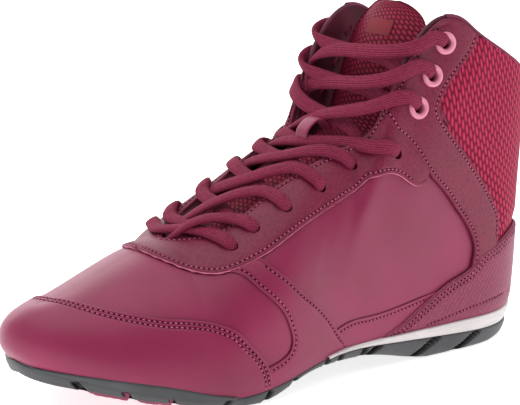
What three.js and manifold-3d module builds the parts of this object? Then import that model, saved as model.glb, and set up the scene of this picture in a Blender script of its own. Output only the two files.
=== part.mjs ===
// Boxing shoe for the left foot, an ankle-high laced training shoe.
// Lengths are in millimetres. The toe points to -X, the heel to +X, the outer
// side of the foot to -Y, and the shoe stands on the plane z = 0.

import * as THREE from 'three';
import Module from 'manifold-3d';

const wasm = await Module();
wasm.setup();

// Driving sizes of the last and the sole
const SOLE_LENGTH = 272;
const BALL_WIDTH = 94;
const HEEL_LIFT = 14.3;
const BALL_LIFT = 4.8;
const TOE_LIFT = 22;
const INSTEP_HEIGHT = 64;
const SHAFT_HEIGHT = 160;
const COLLAR_WIDTH = 68;
const SHAFT_SKEW = 10;
const SWELL_DEPTH = 10;

// Walls and clearances
const STAY_PARTING = 1;
const STAY_RISE = 0.3;
const UPPER_WALL = 2.4;
const OVERLAY_WALL = 1.2;
const GAP = 0.32;
const SEAM_GAP = 0.35;
const INSOLE_THICKNESS = 3.5;
const INSOLE_CLEARANCE = 0.8;

// Sole layers
const MIDSOLE_HEEL = 5.8;
const MIDSOLE_LENGTH = 141;
const MIDSOLE_TIP = 0.7;
const MIDSOLE_FALL = 1.3;
const SOLE_BULGE = 0.6;
const SOLE_TAPER = 3.2;
const SOLE_MARGIN = 0.2;
const TAPER_DEPTH = 4;
const BULGE_LEVEL = 0.55;
const ARCH_RISE = 9;
const HEEL_BEVEL = 5.5;
const TOE_RISE = 17;
const PAD_DROP = 1.8;
const PAD_TOE_MARGIN = 16.5;
const PAD_LENGTH = 13;
const PAD_PITCH = 17.5;
const PAD_COUNT = 3;
const PAD_INSET = 1.5;
const PAD_BEVEL = 1;
const PAD_LEAD = 1.5;
const PAD_GAP = 0.5;
const GROOVE_WIDTH = 1.7;
const GROOVE_DEPTH = 4.2;
const GROOVE_MARGIN = 1;
const GROOVE_SHORT = 0.55;

// Eyelets, laces, tongue and keeper
const LACE_HOLE = 4.2;
const RING_BORE = 5.4;
const RING_OUTER = 10.6;
const RING_HEIGHT = 1.5;
const RING_BARREL = 0.7;
const RING_SEAT = 0.96;
const LACE_WIDTH = 6;
const LACE_THICKNESS = 3.2;
const LACE_LIFT = 2.5;
const TONGUE_DOME = 8;
const TONGUE_THINNING = 0.45;
const KEEPER_LENGTH = 11.2;
const KEEPER_WIDTH = 6;
const KEEPER_WALL = 0.8;
const KEEPER_ROW = 5;
const KEEPER_CLEARANCE = 1;
const KEEPER_SHIFT = 1.2;
const KEEPER_DRAFT = 0.3;
const KEEPER_ROUND = 1;
const KEEPER_LEG = 2.8;

// Outline of the foot: share of the sole length from the heel, then the
// middle line, outer half and inner half as shares of the ball width
const FOOT = [
  { at: 0.00, middle: 0.000, outer: 0.000, inner: 0.000 },
  { at: 0.03, middle: 0.000, outer: 0.190, inner: 0.190 },
  { at: 0.12, middle: 0.000, outer: 0.330, inner: 0.325 },
  { at: 0.25, middle: 0.000, outer: 0.360, inner: 0.330 },
  { at: 0.40, middle: 0.000, outer: 0.390, inner: 0.290 },
  { at: 0.50, middle: 0.000, outer: 0.430, inner: 0.300 },
  { at: 0.62, middle: 0.000, outer: 0.495, inner: 0.390 },
  { at: 0.72, middle: 0.010, outer: 0.490, inner: 0.455 },
  { at: 0.80, middle: 0.025, outer: 0.450, inner: 0.440 },
  { at: 0.88, middle: 0.045, outer: 0.380, inner: 0.375 },
  { at: 0.95, middle: 0.065, outer: 0.255, inner: 0.255 },
  { at: 1.00, middle: 0.080, outer: 0.000, inner: 0.000 },
];

// Height of the line where the upper meets the sole, above the ball lift:
// share of the heel's extra lift and share of the toe's extra lift
const FEATHER = [
  { at: 0.00, heel: 0.86, toe: 0.00 },
  { at: 0.12, heel: 0.86, toe: 0.00 },
  { at: 0.25, heel: 0.90, toe: 0.00 },
  { at: 0.36, heel: 0.97, toe: 0.00 },
  { at: 0.45, heel: 1.00, toe: 0.00 },
  { at: 0.52, heel: 0.82, toe: 0.00 },
  { at: 0.60, heel: 0.42, toe: 0.00 },
  { at: 0.67, heel: 0.06, toe: 0.00 },
  { at: 0.75, heel: 0.00, toe: 0.00 },
  { at: 0.82, heel: 0.00, toe: 0.20 },
  { at: 0.90, heel: 0.00, toe: 0.51 },
  { at: 0.96, heel: 0.00, toe: 0.77 },
  { at: 1.00, heel: 0.00, toe: 1.00 },
];

// Upper ends of the ribs, which run from the sole's edge to the collar,
// throat or ridge. at: share of sole length at the foot of the rib; along:
// share of sole length at its top; middle: share of ball width; half: share
// of collar width; instep: share of instep height; shaft: share of the
// height from instep to collar
const RIB_TOPS = [
  { at: 0.00, along: 0.007, middle: 0.000, half: 0.000, instep: 1.00, shaft: 0.594 },
  { at: 0.03, along: 0.011, middle: 0.000, half: 0.162, instep: 1.00, shaft: 0.615 },
  { at: 0.10, along: 0.033, middle: 0.000, half: 0.353, instep: 1.00, shaft: 0.677 },
  { at: 0.18, along: 0.085, middle: 0.000, half: 0.471, instep: 1.00, shaft: 0.760 },
  { at: 0.27, along: 0.147, middle: 0.000, half: 0.500, instep: 1.00, shaft: 0.854 },
  { at: 0.35, along: 0.199, middle: 0.000, half: 0.493, instep: 1.00, shaft: 0.938 },
  { at: 0.40, along: 0.243, middle: 0.000, half: 0.463, instep: 1.00, shaft: 0.995 },
  { at: 0.43, along: 0.283, middle: 0.000, half: 0.426, instep: 1.00, shaft: 0.969 },
  { at: 0.47, along: 0.342, middle: 0.000, half: 0.412, instep: 1.00, shaft: 0.771 },
  { at: 0.51, along: 0.379, middle: 0.005, half: 0.368, instep: 1.00, shaft: 0.521 },
  { at: 0.56, along: 0.419, middle: 0.011, half: 0.316, instep: 1.00, shaft: 0.411 },
  { at: 0.62, along: 0.496, middle: 0.021, half: 0.294, instep: 1.00, shaft: 0.323 },
  { at: 0.68, along: 0.588, middle: 0.043, half: 0.257, instep: 1.00, shaft: 0.167 },
  { at: 0.72, along: 0.669, middle: 0.074, half: 0.206, instep: 1.00, shaft: 0.031 },
  { at: 0.745, along: 0.721, middle: 0.085, half: 0.000, instep: 1.00, shaft: 0.000 },
  { at: 0.80, along: 0.765, middle: 0.085, half: 0.000, instep: 0.970, shaft: 0.000 },
  { at: 0.88, along: 0.853, middle: 0.069, half: 0.000, instep: 0.836, shaft: 0.000 },
  { at: 0.95, along: 0.926, middle: 0.064, half: 0.000, instep: 0.727, shaft: 0.000 },
  { at: 1.00, along: 0.952, middle: 0.069, half: 0.000, instep: 0.688, shaft: 0.000 },
];

// Curve of each rib. rise and reach: pull of the curve at foot and top;
// lean: slope at the top in degrees; swell: share of the swell's depth;
// skew: share of the shaft's skew
const RIB_CURVES = [
  { at: 0.00, rise: 0.42, reach: 0.30, lean: 96, swell: 0.4, skew: 0.0 },
  { at: 0.03, rise: 0.42, reach: 0.30, lean: 95, swell: 0.4, skew: 0.0 },
  { at: 0.10, rise: 0.42, reach: 0.30, lean: 94, swell: 0.4, skew: 0.0 },
  { at: 0.18, rise: 0.42, reach: 0.30, lean: 92, swell: 0.2, skew: 0.0 },
  { at: 0.27, rise: 0.42, reach: 0.30, lean: 90, swell: 0.2, skew: 0.0 },
  { at: 0.35, rise: 0.42, reach: 0.30, lean: 88, swell: 0.2, skew: 0.3 },
  { at: 0.40, rise: 0.42, reach: 0.30, lean: 86, swell: 0.2, skew: 0.7 },
  { at: 0.43, rise: 0.42, reach: 0.30, lean: 82, swell: 0.2, skew: 1.0 },
  { at: 0.47, rise: 0.42, reach: 0.30, lean: 74, swell: 0.2, skew: 0.9 },
  { at: 0.51, rise: 0.42, reach: 0.30, lean: 62, swell: 0.2, skew: 0.7 },
  { at: 0.56, rise: 0.45, reach: 0.32, lean: 48, swell: 0.2, skew: 0.3 },
  { at: 0.62, rise: 0.45, reach: 0.34, lean: 34, swell: 0.2, skew: 0.0 },
  { at: 0.68, rise: 0.45, reach: 0.36, lean: 22, swell: 0.2, skew: 0.0 },
  { at: 0.72, rise: 0.46, reach: 0.38, lean: 10, swell: 0.25, skew: 0.0 },
  { at: 0.745, rise: 0.47, reach: 0.40, lean: 4, swell: 0.3, skew: 0.0 },
  { at: 0.80, rise: 0.48, reach: 0.42, lean: 2, swell: 0.3, skew: 0.0 },
  { at: 0.88, rise: 0.52, reach: 0.42, lean: 0, swell: 0.4, skew: 0.0 },
  { at: 0.95, rise: 0.56, reach: 0.43, lean: -2, swell: 0.7, skew: 0.0 },
  { at: 1.00, rise: 0.58, reach: 0.45, lean: -4, swell: 1.0, skew: 0.0 },
];
const THROAT_FRONT = 0.745;

// Underside of the outsole: shares of arch rise, heel bevel and toe rise
const UNDERSIDE = [
  { at: 0.000, arch: 0.00, bevel: 1.00, toe: 0.00 },
  { at: 0.030, arch: 0.00, bevel: 0.62, toe: 0.00 },
  { at: 0.070, arch: 0.00, bevel: 0.20, toe: 0.00 },
  { at: 0.110, arch: 0.00, bevel: 0.00, toe: 0.00 },
  { at: 0.265, arch: 0.00, bevel: 0.00, toe: 0.00 },
  { at: 0.310, arch: 0.22, bevel: 0.00, toe: 0.00 },
  { at: 0.400, arch: 0.82, bevel: 0.00, toe: 0.00 },
  { at: 0.490, arch: 1.00, bevel: 0.00, toe: 0.00 },
  { at: 0.535, arch: 0.90, bevel: 0.00, toe: 0.00 },
  { at: 0.585, arch: 0.42, bevel: 0.00, toe: 0.00 },
  { at: 0.640, arch: 0.00, bevel: 0.00, toe: 0.00 },
  { at: 0.740, arch: 0.00, bevel: 0.00, toe: 0.00 },
  { at: 0.800, arch: 0.00, bevel: 0.00, toe: 0.22 },
  { at: 0.850, arch: 0.00, bevel: 0.00, toe: 0.41 },
  { at: 0.920, arch: 0.00, bevel: 0.00, toe: 0.69 },
  { at: 0.970, arch: 0.00, bevel: 0.00, toe: 0.84 },
  { at: 1.000, arch: 0.00, bevel: 0.00, toe: 1.00 },
];

// Seams in the side view: along is a share of sole length from the heel,
// up a share of instep height, or of shaft height in the shaft's tables
const TOE_CAP_SEAM = [
  { along: 0.655, up: 0.02 },
  { along: 0.657, up: 0.12 },
  { along: 0.670, up: 0.26 },
  { along: 0.690, up: 0.39 },
  { along: 0.719, up: 0.50 },
  { along: 0.762, up: 0.56 },
  { along: 0.837, up: 0.62 },
  { along: 0.900, up: 0.68 },
  { along: 0.934, up: 0.73 },
  { along: 0.943, up: 0.85 },
];
const EYESTAY_SEAM = [
  { along: 0.778, up: 1.06 },
  { along: 0.776, up: 0.97 },
  { along: 0.770, up: 0.94 },
  { along: 0.756, up: 0.91 },
  { along: 0.732, up: 0.87 },
  { along: 0.708, up: 0.86 },
  { along: 0.695, up: 0.87 },
  { along: 0.660, up: 0.92 },
  { along: 0.580, up: 1.08 },
  { along: 0.499, up: 1.22 },
  { along: 0.450, up: 1.29 },
  { along: 0.415, up: 1.37 },
  { along: 0.397, up: 1.41 },
  { along: 0.374, up: 1.42 },
  { along: 0.342, up: 1.37 },
  { along: 0.312, up: 1.315 },
];
const STAY_FRONT = [
  { along: 0.371, up: 0.750 },
  { along: 0.362, up: 0.722 },
  { along: 0.344, up: 0.669 },
  { along: 0.296, up: 0.574 },
  { along: 0.250, up: 0.495 },
  { along: 0.225, up: 0.445 },
  { along: 0.198, up: 0.394 },
  { along: 0.178, up: 0.341 },
  { along: 0.172, up: 0.303 },
  { along: 0.174, up: 0.230 },
];
const STAY_BACK = [
  { along: 0.105, up: 0.230 },
  { along: 0.110, up: 0.312 },
  { along: 0.111, up: 0.389 },
  { along: 0.125, up: 0.438 },
  { along: 0.146, up: 0.489 },
  { along: 0.179, up: 0.556 },
  { along: 0.210, up: 0.614 },
  { along: 0.239, up: 0.669 },
  { along: 0.258, up: 0.707 },
  { along: 0.266, up: 0.728 },
  { along: 0.261, up: 0.753 },
  { along: 0.243, up: 0.803 },
  { along: 0.218, up: 0.852 },
  { along: 0.196, up: 0.890 },
  { along: 0.179, up: 0.945 },
  { along: 0.172, up: 1.030 },
];
const COUNTER_SEAM = [
  { along: -0.050, up: 0.90 },
  { along: 0.015, up: 0.885 },
  { along: 0.049, up: 0.865 },
  { along: 0.087, up: 0.817 },
  { along: 0.110, up: 0.772 },
  { along: 0.158, up: 0.697 },
  { along: 0.223, up: 0.561 },
  { along: 0.260, up: 0.486 },
  { along: 0.296, up: 0.411 },
  { along: 0.338, up: 0.312 },
  { along: 0.397, up: 0.215 },
  { along: 0.420, up: 0.150 },
];
const BAND_SEAM = [
  { along: 0.449, up: 0.15 },
  { along: 0.457, up: 0.22 },
  { along: 0.482, up: 0.39 },
  { along: 0.424, up: 0.422 },
  { along: 0.364, up: 0.436 },
  { along: 0.306, up: 0.472 },
  { along: 0.250, up: 0.505 },
];

// Plain corners that close each seam's region beyond the upper, in the same
// shares as the seam's own
const TOE_CAP_CORNERS = [
  { along: 1.350, up: 1.00 },
  { along: 1.350, up: -0.22 },
  { along: 0.650, up: -0.22 },
];
const COUNTER_CORNERS = [
  { along: 0.420, up: -0.22 },
  { along: -0.350, up: -0.22 },
  { along: -0.350, up: 0.90 },
];
const BAND_CORNERS = [
  { along: 0.250, up: -0.22 },
  { along: 0.445, up: -0.22 },
];
const STAY_CORNERS = [
  { along: 0.172, up: 1.10 },
  { along: 0.450, up: 1.10 },
  { along: 0.450, up: 0.80 },
];
const EYESTAY_CORNERS = [
  { along: 0.290, up: 1.33 },
  { along: 0.300, up: 1.50 },
  { along: 0.364, up: 1.85 },
  { along: 0.600, up: 1.85 },
  { along: 0.778, up: 1.20 },
];

// Flange of an eyelet ring: share of the way from bore to rim, and share of
// the ring's height
const RING_FLANGE = [
  { out: 1.000, up: 0.0 },
  { out: 0.885, up: 0.7 },
  { out: 0.500, up: 1.0 },
  { out: 0.115, up: 0.6 },
];

// Eyelets from the toe up: place on the upper's own ribs, and the share of
// sole length at whose rib the lace crosses the throat's edge
const EYELETS = [
  { at: 0.706, up: 0.806, edge: 0.712, ring: false },
  { at: 0.682, up: 0.815, edge: 0.688, ring: false },
  { at: 0.641, up: 0.800, edge: 0.650, ring: false },
  { at: 0.594, up: 0.815, edge: 0.607, ring: false },
  { at: 0.547, up: 0.865, edge: 0.568, ring: false },
  { at: 0.442, up: 0.578, edge: 0.524, ring: false },
  { at: 0.429, up: 0.711, edge: 0.488, ring: true },
  { at: 0.420, up: 0.809, edge: 0.476, ring: true },
  { at: 0.410, up: 0.915, edge: 0.462, ring: true },
];

// Middle line of the tongue's face, with half width and thickness in
// shares of collar width and instep height
const TONGUE = [
  { along: 0.772, middle: 0.085, up: 0.890, half: 0.16, thick: 0.035 },
  { along: 0.721, middle: 0.085, up: 0.925, half: 0.19, thick: 0.040 },
  { along: 0.669, middle: 0.074, up: 1.015, half: 0.20, thick: 0.045 },
  { along: 0.588, middle: 0.043, up: 1.225, half: 0.225, thick: 0.050 },
  { along: 0.496, middle: 0.021, up: 1.460, half: 0.250, thick: 0.060 },
  { along: 0.419, middle: 0.011, up: 1.610, half: 0.270, thick: 0.070 },
  { along: 0.370, middle: 0.000, up: 1.690, half: 0.300, thick: 0.080 },
  { along: 0.346, middle: 0.000, up: 1.890, half: 0.330, thick: 0.095 },
  { along: 0.325, middle: 0.000, up: 2.120, half: 0.360, thick: 0.100 },
  { along: 0.301, middle: 0.000, up: 2.350, half: 0.370, thick: 0.100 },
  { along: 0.280, middle: 0.000, up: 2.510, half: 0.330, thick: 0.080 },
  { along: 0.268, middle: 0.000, up: 2.590, half: 0.200, thick: 0.050 },
];

// Cuts in the outsole's edge: share of sole length, slant from the upright
// in degrees, and whether the cut is one of the heel's long ones
const GROOVES = [
  { at: 0.150, slant: 52, long: true },
  { at: 0.255, slant: 52, long: true },
  { at: 0.375, slant: 62, long: false },
  { at: 0.445, slant: 40, long: false },
  { at: 0.500, slant: 40, long: false },
  { at: 0.550, slant: 36, long: false },
  { at: 0.607, slant: 30, long: false },
  { at: 0.660, slant: 24, long: false },
  { at: 0.738, slant: 24, long: false },
  { at: 0.812, slant: -28, long: false },
  { at: 0.875, slant: -28, long: false },
  { at: 0.940, slant: -28, long: false },
];

// Colours and finish
const FINISH = {
  leather: { color: 0x94405f, roughness: 0.5, metalness: 0 },
  grain: { color: 0x8a3858, roughness: 0.62, metalness: 0 },
  mesh: { color: 0xa62c55, roughness: 0.85, metalness: 0 },
  lace: { color: 0xa6486a, roughness: 0.85, metalness: 0 },
  ring: { color: 0xd9849b, roughness: 0.35, metalness: 0.2 },
  white: { color: 0xedecec, roughness: 0.6, metalness: 0 },
  rubber: { color: 0x4c5152, roughness: 0.7, metalness: 0 },
  tread: { color: 0xa63f63, roughness: 0.8, metalness: 0 },
  lining: { color: 0x7e2c49, roughness: 0.9, metalness: 0 },
};

const OUTER = -1;
const INNER = 1;
const SIDES = [OUTER, INNER];

const shoe = new THREE.Group();
shoe.name = 'boxing_shoe';

// Smooth curves through the tables

// Station number of a share of length, so that round ends stay round
function turn(share) {
  const bounded = Math.min(1, Math.max(0, share));
  return Math.acos(1 - 2 * bounded) / Math.PI;
}

// Natural cubic spline through the given knots
function spline(knots, values) {
  const count = knots.length;
  const lower = new Array(count).fill(0);
  const moments = new Array(count).fill(0);
  for (let i = 1; i < count - 1; i += 1) {
    const before = knots[i] - knots[i - 1];
    const after = knots[i + 1] - knots[i];
    const bend = 6 * ((values[i + 1] - values[i]) / after - (values[i] - values[i - 1]) / before);
    const pivot = 2 * (before + after) - before * lower[i - 1];
    lower[i] = after / pivot;
    moments[i] = (bend - before * moments[i - 1]) / pivot;
  }
  for (let i = count - 2; i > 0; i -= 1) {
    moments[i] -= lower[i] * moments[i + 1];
  }
  return (knot) => {
    let i = 0;
    while (i < count - 2 && knot >= knots[i + 1]) i += 1;
    const step = knots[i + 1] - knots[i];
    const a = (knots[i + 1] - knot) / step;
    const b = (knot - knots[i]) / step;
    const curve = (a ** 3 - a) * moments[i] + (b ** 3 - b) * moments[i + 1];
    return a * values[i] + b * values[i + 1] + curve * step * step / 6;
  };
}

// One smooth function of the station for a table's column
function column(table, name) {
  return spline(table.map((row) => turn(row.at)), table.map((row) => row[name]));
}

// The same, but level between rows that hold one value
function steadyColumn(table, name) {
  const curve = column(table, name);
  return (station) => {
    const found = table.findIndex((row) => turn(row.at) > station);
    const next = found < 0 ? table.length - 1 : found;
    const value = table[next][name];
    return table[next - 1][name] === value ? value : curve(station);
  };
}

const footMiddle = column(FOOT, 'middle');
const footHalf = { [OUTER]: column(FOOT, 'outer'), [INNER]: column(FOOT, 'inner') };
const featherHeel = column(FEATHER, 'heel');
const featherToe = column(FEATHER, 'toe');
const ribColumns = {};
for (const table of [RIB_TOPS, RIB_CURVES]) {
  for (const name of Object.keys(table[0])) {
    if (name !== 'at') ribColumns[name] = column(table, name);
  }
}
const underArch = steadyColumn(UNDERSIDE, 'arch');
const underBevel = steadyColumn(UNDERSIDE, 'bevel');
const underToe = steadyColumn(UNDERSIDE, 'toe');

// World position of a point given by its distance from the heel
function place(fromHeel, y, z) {
  return new THREE.Vector3(SOLE_LENGTH / 2 - fromHeel, y, z);
}

// Shape of the sole's edge and of the upper

function featherHeight(station) {
  return BALL_LIFT
    + featherHeel(station) * (HEEL_LIFT - BALL_LIFT)
    + featherToe(station) * (TOE_LIFT - BALL_LIFT);
}

function edgePoint(station, side) {
  const fromHeel = SOLE_LENGTH * (1 - Math.cos(Math.PI * station)) / 2;
  const half = Math.max(0, footHalf[side](station)) * BALL_WIDTH;
  const y = footMiddle(station) * BALL_WIDTH + side * half;
  return { fromHeel, y, z: featherHeight(station) };
}

// Direction that points out of the foot's outline, in the floor plane
function edgeOutward(station, side) {
  if (station === 0) return { along: -1, across: 0 };
  if (station === 1) return { along: 1, across: 0 };
  const step = 0.001;
  const next = edgePoint(Math.min(1, station + step), side);
  const last = edgePoint(Math.max(0, station - step), side);
  const along = next.fromHeel - last.fromHeel;
  const across = next.y - last.y;
  const length = Math.hypot(along, across);
  return { along: -side * across / length, across: side * along / length };
}

// Named values of the rib at a station
function ribAt(station) {
  const rib = {};
  for (const [name, curve] of Object.entries(ribColumns)) rib[name] = curve(station);
  if (station >= turn(THROAT_FRONT)) {
    rib.half = 0;
    rib.skew = 0;
  }
  return rib;
}

// Point of the upper: station along the foot, share up the rib, side
function upperPoint(station, share, side) {
  const foot = edgePoint(station, side);
  const outward = edgeOutward(station, side);
  const rib = ribAt(station);
  const topAlong = rib.along * SOLE_LENGTH + side * rib.skew * SHAFT_SKEW / 2;
  const topAcross = rib.middle * BALL_WIDTH + side * Math.max(0, rib.half) * COLLAR_WIDTH;
  const topHeight = rib.instep * INSTEP_HEIGHT + rib.shaft * (SHAFT_HEIGHT - INSTEP_HEIGHT);
  const height = topHeight - foot.z;
  const along = topAlong - foot.fromHeel;
  const across = topAcross - foot.y;
  const plan = Math.hypot(along, across) + 1e-9;
  const lean = THREE.MathUtils.degToRad(rib.lean);
  const pull = rib.reach * Math.hypot(plan, height);
  const level = Math.cos(lean) * pull / plan;
  const swell = rib.swell * SWELL_DEPTH;
  const start = [foot.fromHeel, foot.y, foot.z];
  const first = [
    foot.fromHeel + outward.along * swell,
    foot.y + outward.across * swell,
    foot.z + rib.rise * height,
  ];
  const end = [topAlong, topAcross, topHeight];
  const second = [
    topAlong - along * level,
    topAcross - across * level,
    topHeight - Math.sin(lean) * pull,
  ];
  const rest = 1 - share;
  const weights = [rest ** 3, 3 * rest * rest * share, 3 * rest * share * share, share ** 3];
  const mixed = [0, 1, 2].map((axis) => weights[0] * start[axis] + weights[1] * first[axis]
    + weights[2] * second[axis] + weights[3] * end[axis]);
  return place(mixed[0], mixed[1], mixed[2]);
}

// Unit normal of one side of the upper, pointing out
function sideNormal(station, share, side) {
  const step = 0.001;
  const along = upperPoint(Math.min(1, station + step), share, side)
    .sub(upperPoint(Math.max(0, station - step), share, side));
  const up = upperPoint(station, Math.min(1, share + step), side)
    .sub(upperPoint(station, Math.max(0, share - step), side));
  return along.cross(up).multiplyScalar(side).normalize();
}

// Normal that agrees where both sides meet at the heel, toe and ridge
function upperNormal(station, share, side) {
  const onRidge = share === 1 && station >= turn(THROAT_FRONT);
  const normal = sideNormal(station, share, side);
  if (station === 0 || station === 1 || onRidge) {
    normal.add(sideNormal(station, share, -side)).normalize();
  }
  return normal;
}

function upperOffset(station, share, side, distance) {
  const normal = upperNormal(station, share, side);
  return upperPoint(station, share, side).addScaledVector(normal, distance);
}

// Solids from grids of points

const REAR_STATIONS = 20;
const FRONT_STATIONS = 10;
const RIB_STEPS = 6;

function stationList() {
  const front = turn(THROAT_FRONT);
  const stations = [];
  for (let i = 0; i < REAR_STATIONS; i += 1) stations.push(front * i / REAR_STATIONS);
  for (let i = 0; i <= FRONT_STATIONS; i += 1) {
    stations.push(front + (1 - front) * i / FRONT_STATIONS);
  }
  return stations;
}

const WELD_SCALE = 2e4;

// Gathers triangles and joins the corners that coincide
class Facets {
  constructor() {
    this.points = [];
    this.faces = [];
    this.known = new Map();
  }

  corner(point) {
    const key = [point.x, point.y, point.z].map((value) => Math.round(value * WELD_SCALE)).join(',');
    if (!this.known.has(key)) {
      this.known.set(key, this.points.length / 3);
      this.points.push(point.x, point.y, point.z);
    }
    return this.known.get(key);
  }

  triangle(a, b, c) {
    const face = [a, b, c].map((point) => this.corner(point));
    if (new Set(face).size === 3) this.faces.push(...face);
  }

  quad(a, b, c, d) {
    this.triangle(a, b, c);
    this.triangle(a, c, d);
  }

  // Closed manifold, turned inside out when its volume is negative
  solid() {
    const make = (faces) => new wasm.Manifold(new wasm.Mesh({
      numProp: 3,
      vertProperties: new Float32Array(this.points),
      triVerts: new Uint32Array(faces),
    }));
    const made = make(this.faces);
    if (made.volume() > 0) return made;
    const turned = [];
    for (let i = 0; i < this.faces.length; i += 3) {
      turned.push(this.faces[i], this.faces[i + 2], this.faces[i + 1]);
    }
    return make(turned);
  }
}

// Hollow wall of the upper between two distances from its face, open at
// the collar, along the throat and underneath
function upperShell(inside, outside) {
  const stations = stationList();
  const facets = new Facets();
  const front = turn(THROAT_FRONT);
  for (const side of SIDES) {
    const grid = stations.map((station) => {
      const inner = [];
      const outer = [];
      for (let j = 0; j <= RIB_STEPS; j += 1) {
        inner.push(upperOffset(station, j / RIB_STEPS, side, inside));
        outer.push(upperOffset(station, j / RIB_STEPS, side, outside));
      }
      return { inner, outer };
    });
    const quad = (a, b, c, d) => (side === OUTER ? facets.quad(a, b, c, d) : facets.quad(d, c, b, a));
    for (let i = 0; i < stations.length - 1; i += 1) {
      const here = grid[i];
      const next = grid[i + 1];
      for (let j = 0; j < RIB_STEPS; j += 1) {
        quad(here.outer[j], here.outer[j + 1], next.outer[j + 1], next.outer[j]);
        quad(here.inner[j], next.inner[j], next.inner[j + 1], here.inner[j + 1]);
      }
      quad(here.inner[0], here.outer[0], next.outer[0], next.inner[0]);
      if (stations[i] < front) {
        const top = RIB_STEPS;
        quad(here.inner[top], next.inner[top], next.outer[top], here.outer[top]);
      }
    }
  }
  return facets.solid();
}

// Closed solid of an edge outline with rows of rings, from the top down.
// Each row gives an inset and a height for each station.
function ringSolid(stations, rows) {
  const facets = new Facets();
  const ring = (row, station, side) => {
    const edge = edgePoint(station, side);
    const outward = edgeOutward(station, side);
    const inset = row.inset(station);
    const middle = footMiddle(station) * BALL_WIDTH;
    const y = edge.y - outward.across * inset;
    const kept = side === OUTER ? Math.min(middle, y) : Math.max(middle, y);
    return place(edge.fromHeel - outward.along * inset, kept, row.height(station));
  };
  const grid = stations.map((station) => rows.map((row) => (
    { outer: ring(row, station, OUTER), inner: ring(row, station, INNER) })));
  const last = rows.length - 1;
  const end = stations.length - 1;
  for (let i = 0; i < end; i += 1) {
    const here = grid[i];
    const next = grid[i + 1];
    for (let j = 0; j < last; j += 1) {
      facets.quad(here[j].outer, next[j].outer, next[j + 1].outer, here[j + 1].outer);
      facets.quad(here[j].inner, here[j + 1].inner, next[j + 1].inner, next[j].inner);
    }
    facets.quad(here[0].outer, here[0].inner, next[0].inner, next[0].outer);
    facets.quad(here[last].outer, next[last].outer, next[last].inner, here[last].inner);
  }
  for (let j = 0; j < last; j += 1) {
    const first = grid[0];
    facets.quad(first[j].outer, first[j + 1].outer, first[j + 1].inner, first[j].inner);
    const tip = grid[end];
    facets.quad(tip[j].outer, tip[j].inner, tip[j + 1].inner, tip[j + 1].outer);
  }
  return facets.solid();
}

// Manifold of a three.js geometry
function fromGeometry(geometry, matrix) {
  const facets = new Facets();
  const plain = geometry.index ? geometry.toNonIndexed() : geometry;
  const position = plain.attributes.position;
  const corner = (i) => new THREE.Vector3().fromBufferAttribute(position, i).applyMatrix4(matrix);
  for (let i = 0; i < position.count; i += 3) {
    facets.triangle(corner(i), corner(i + 1), corner(i + 2));
  }
  return facets.solid();
}

// Main body of a cut or joined solid, without slivers or sealed pockets
function mainBody(solid) {
  const bodies = solid.decompose();
  return bodies.reduce((best, body) => (body.volume() > best.volume() ? body : best));
}

// Adds a named mesh to the shoe
function addPiece(name, solid, finish) {
  const mesh = mainBody(solid).getMesh();
  const positions = new Float32Array(mesh.numVert * 3);
  for (let i = 0; i < mesh.numVert; i += 1) {
    for (let axis = 0; axis < 3; axis += 1) {
      positions[i * 3 + axis] = mesh.vertProperties[i * mesh.numProp + axis];
    }
  }
  const geometry = new THREE.BufferGeometry();
  geometry.setAttribute('position', new THREE.BufferAttribute(positions, 3));
  geometry.setIndex(new THREE.BufferAttribute(new Uint32Array(mesh.triVerts), 1));
  geometry.computeVertexNormals();
  const piece = new THREE.Mesh(geometry, new THREE.MeshStandardMaterial(FINISH[finish]));
  piece.name = name;
  shoe.add(piece);
}

// Side-view regions that cut the overlays out of the upper's outer shells

function seamPoints(seam, height) {
  return seam.map((row) => new THREE.Vector2(row.along * SOLE_LENGTH, row.up * height));
}

// Slab across the shoe of a side-view region: smooth seams and plain corners
function region(parts, low, high) {
  const shape = new THREE.Shape();
  parts.forEach((part, index) => {
    const [start, ...rest] = part.points;
    if (index === 0) shape.moveTo(start.x, start.y);
    else shape.lineTo(start.x, start.y);
    if (part.smooth) shape.splineThru(rest);
    else rest.forEach((point) => shape.lineTo(point.x, point.y));
  });
  shape.closePath();
  const slab = new THREE.ExtrudeGeometry(shape, {
    depth: high - low, bevelEnabled: false, curveSegments: 2,
  });
  const matrix = new THREE.Matrix4().set(
    -1, 0, 0, SOLE_LENGTH / 2,
    0, 0, 1, low,
    0, 1, 0, 0,
    0, 0, 0, 1,
  );
  return fromGeometry(slab, matrix);
}

const FAR = BALL_WIDTH;
const corners = (table, height) => ({ smooth: false, points: seamPoints(table, height) });
const seam = (table, height) => ({ smooth: true, points: seamPoints(table, height) });

// The same seam moved bodily, so that a neighbour stays clear of it
function movedSeam(table, height, along, up) {
  const points = seamPoints(table, height).map((p) => new THREE.Vector2(p.x + along, p.y + up));
  return { smooth: true, points };
}

function toeCapRegion() {
  return region([
    seam(TOE_CAP_SEAM, INSTEP_HEIGHT),
    corners(TOE_CAP_CORNERS, INSTEP_HEIGHT),
  ], -FAR, FAR);
}

function counterRegion(moved = 0) {
  return region([
    movedSeam(COUNTER_SEAM, INSTEP_HEIGHT, moved, moved),
    corners(COUNTER_CORNERS, INSTEP_HEIGHT),
  ], -FAR, FAR);
}

function bandRegion(side) {
  const [low, high] = side === OUTER ? [-FAR, 0] : [0, FAR];
  return region([
    seam(BAND_SEAM, INSTEP_HEIGHT),
    corners(BAND_CORNERS, INSTEP_HEIGHT),
  ], low, high);
}

function stayRegion(side, moved = 0) {
  const [low, high] = side === OUTER ? [-FAR, -STAY_PARTING] : [STAY_PARTING, FAR];
  return region([
    seam(STAY_BACK, SHAFT_HEIGHT),
    corners(STAY_CORNERS, SHAFT_HEIGHT),
    movedSeam(STAY_FRONT, SHAFT_HEIGHT, moved, moved * STAY_RISE),
  ], low, high);
}

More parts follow.
